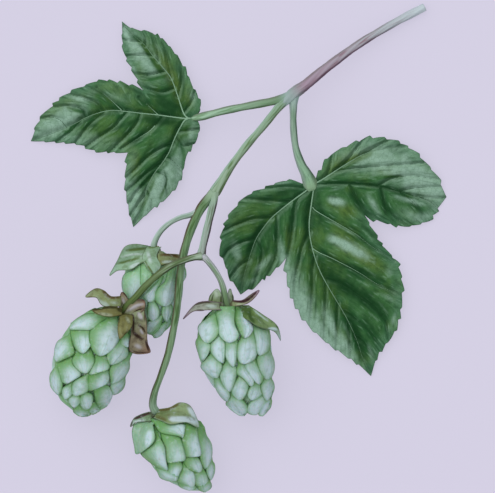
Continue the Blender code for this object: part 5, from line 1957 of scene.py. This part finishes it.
BACK_CONE = Cone(
    name="back_cone",
    base=(152.5, 249.5, 10.6), middle=(153.5, 290, 9.2), tip=(156.5, 338.5, 8),
    radius=32.5, waist=0.76, depth=0.9, highlight_lift=0.14, fresh=0.65,
    scales=[
        Scale([(133.6, 270), (123.8, 275.2), (122.8, 289.7), (129.5, 299.8), (137.2, 295.9),
               (141.7, 286.2), (140.6, 268)], light=0.35, bloom=0.55, green=0.3),
        Scale([(140.6, 261.4), (140.6, 276.6), (141.9, 286.6), (145.7, 285.9), (151.2, 276.6),
               (151.9, 272.1), (145.7, 263.1)], bloom=0.2, green=0.4),
        Scale([(166.3, 281.7), (156.9, 290.3), (156.2, 300.3), (163.9, 306.5), (172, 302),
               (175.5, 287.6), (176.2, 272.1)], light=0.3, bloom=0.8, green=0.1),
        Scale([(157.7, 282.1), (148.1, 291.7), (144.5, 296.9), (149.6, 302.4), (155.1, 299.3),
               (156.3, 291.7), (161.5, 283.1)]),
        Scale([(148.4, 302.7), (147.9, 315.1), (150.8, 320.1), (153.7, 320.9), (158.6, 317.2),
               (159.3, 308.9), (155, 301)], bloom=0.8),
        Scale([(163.2, 306.2), (162.4, 313.4), (164.6, 319.5), (167.5, 321.9), (171.7, 313.8),
               (173.1, 306.9), (170.8, 303.4)]),
        Scale([(162.5, 314.8), (152.2, 320.6), (148.1, 322.7), (147.9, 334.1), (156.5, 331.8),
               (162, 322.7), (163.6, 316.9)], light=-0.3, bloom=0.6, green=0.2),
        Scale([(167.4, 320), (159.1, 326.8), (153.4, 333.2), (154.4, 338.2), (161.3, 335.2),
               (166.3, 327.5), (168.2, 321.3)], light=0.3, bloom=0.6, green=0.2),
        Scale([(183.2, 267.6), (180.4, 275.2), (181.8, 282.8), (186.6, 276.6), (187, 267.6)],
              bloom=0.6, green=0.2),
    ],
    bracts=[
        Flap("left", [
            (148.1, 245.7), (135, 244.1), (124.7, 247.5), (116.9, 262.1), (109.4, 275.7),
            (117.8, 270.5), (131.5, 269.5), (140, 263.6), (146.8, 260.9)
        ], (13, 15, 12), BractLook.FRESH, [
            Wash([(127, 250.5), (136, 249.5), (146, 248.5)], 1.8, -0.85),
            Wash([(122, 257), (132, 254.5), (144, 254)], 1.8, 0.6),
            Wash([(118, 263.5), (127, 261.5), (139, 258)], 1.6, -0.8),
            Wash([(131, 267), (139, 263.5)], 2, 1),
            Wash([(130, 270), (138, 268)], 0.9, -0.6),
        ], cup=0.3),
        Flap("right", [
            (158.4, 246.1), (162.5, 252), (170.1, 254), (180.6, 255.2), (177.1, 260.9), (168, 263.6),
            (159.1, 265.7)
        ], (12.5, 13.5, 13), BractLook.OLIVE, [
            Wash([(161, 255), (170, 254.5), (179, 257)], 2, -0.85),
            Wash([(156, 255), (156.5, 261), (161, 265)], 1.4, -0.95),
            Wash([(163, 262), (172, 261.5)], 1.7, 0.9),
        ], cup=0.3),
        Flap("front", [
            (146.6, 246.8), (142.3, 257.3), (148.1, 268.4), (155.1, 273.7), (161.4, 265.7),
            (157.2, 256), (161.4, 246.8)
        ], (14, 18.6, 20.2), BractLook.FRESH, [
            Wash([(148, 247.5), (158, 247)], 1.3, -0.7),
            Wash([(148, 252), (151, 262)], 2.5, 0.7),
            Wash([(145, 260), (149, 267), (154, 274)], 1.1, -0.85),
        ], cup=-0.5),
    ],
)


# ---------------------------------------------------------------- studio


@dataclass
class Studio:
    """The table, the soft light and the camera that looks straight down."""

    focus_mm: float = 8.0  # the height that is drawn at the photograph's scale
    distance: float = 3.0  # of the camera, in metres
    centre_px: tuple[float, float] = (247.5, 246.5)
    table_size: float = 6.0  # metres, so that its edge never shows
    sky: str = "#eeeef4"
    sky_strength: float = 0.82
    key_strength: float = 1.3
    key_tilt: tuple[float, float] = (-24.0, -30.0)  # degrees, about x and about y
    key_softness: float = 76.0  # degrees that the light spans, like a wide window

    def build(self) -> None:
        """Makes the table, the lights and the camera."""
        bpy.ops.mesh.primitive_plane_add(size=self.table_size)
        table = bpy.context.object
        table.name = "table_card"
        table.data.materials.append(TABLE_TOP.material())
        world = bpy.data.worlds.new("soft_sky")
        world.use_nodes = True
        sky = world.node_tree.nodes["Background"]
        sky.inputs["Color"].default_value = linear(self.sky)
        sky.inputs["Strength"].default_value = self.sky_strength
        bpy.context.scene.world = world
        light = bpy.data.lights.new("window", "SUN")
        light.energy = self.key_strength
        light.angle = math.radians(self.key_softness)
        window = bpy.data.objects.new("window", light)
        window.rotation_euler = (*(math.radians(degrees) for degrees in self.key_tilt), 0)
        window.location = (0, 0, 1)
        bpy.context.scene.collection.objects.link(window)
        lens = bpy.data.cameras.new("camera")
        lens.lens = lens.sensor_width * self.distance / (PHOTO_PX[0] * SCALE)
        lens.clip_start, lens.clip_end = 0.1, 20.0
        camera = bpy.data.objects.new("camera", lens)
        x, y, z = on_table((*self.centre_px, self.focus_mm))[0]
        camera.location = (x, y, z + self.distance)
        bpy.context.scene.collection.objects.link(camera)
        bpy.context.scene.camera = camera
        bpy.context.scene.view_settings.view_transform = "Standard"


def main() -> None:
    """Builds the sprig piece by piece, then the studio round it."""
    logging.basicConfig(level=logging.INFO, format="%(message)s")
    Studio().build()
    for stalk in STALKS:
        LOG.info("stalk %s", stalk.build().name)
    for leaf in (LEFT_LEAF, RIGHT_LEAF):
        LOG.info("blade %s", leaf.build_blade().name)
        LOG.info("veins %s", leaf.build_veins().name)
    for cone in (LEFT_CONE, RIGHT_CONE, BOTTOM_CONE, BACK_CONE):
        LOG.info("cone %s", cone.build_body().name)
        for bract in cone.bracts:
            LOG.info("bract %s", bract.build(cone).name)
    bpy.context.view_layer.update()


if __name__ == "__main__":
    main()
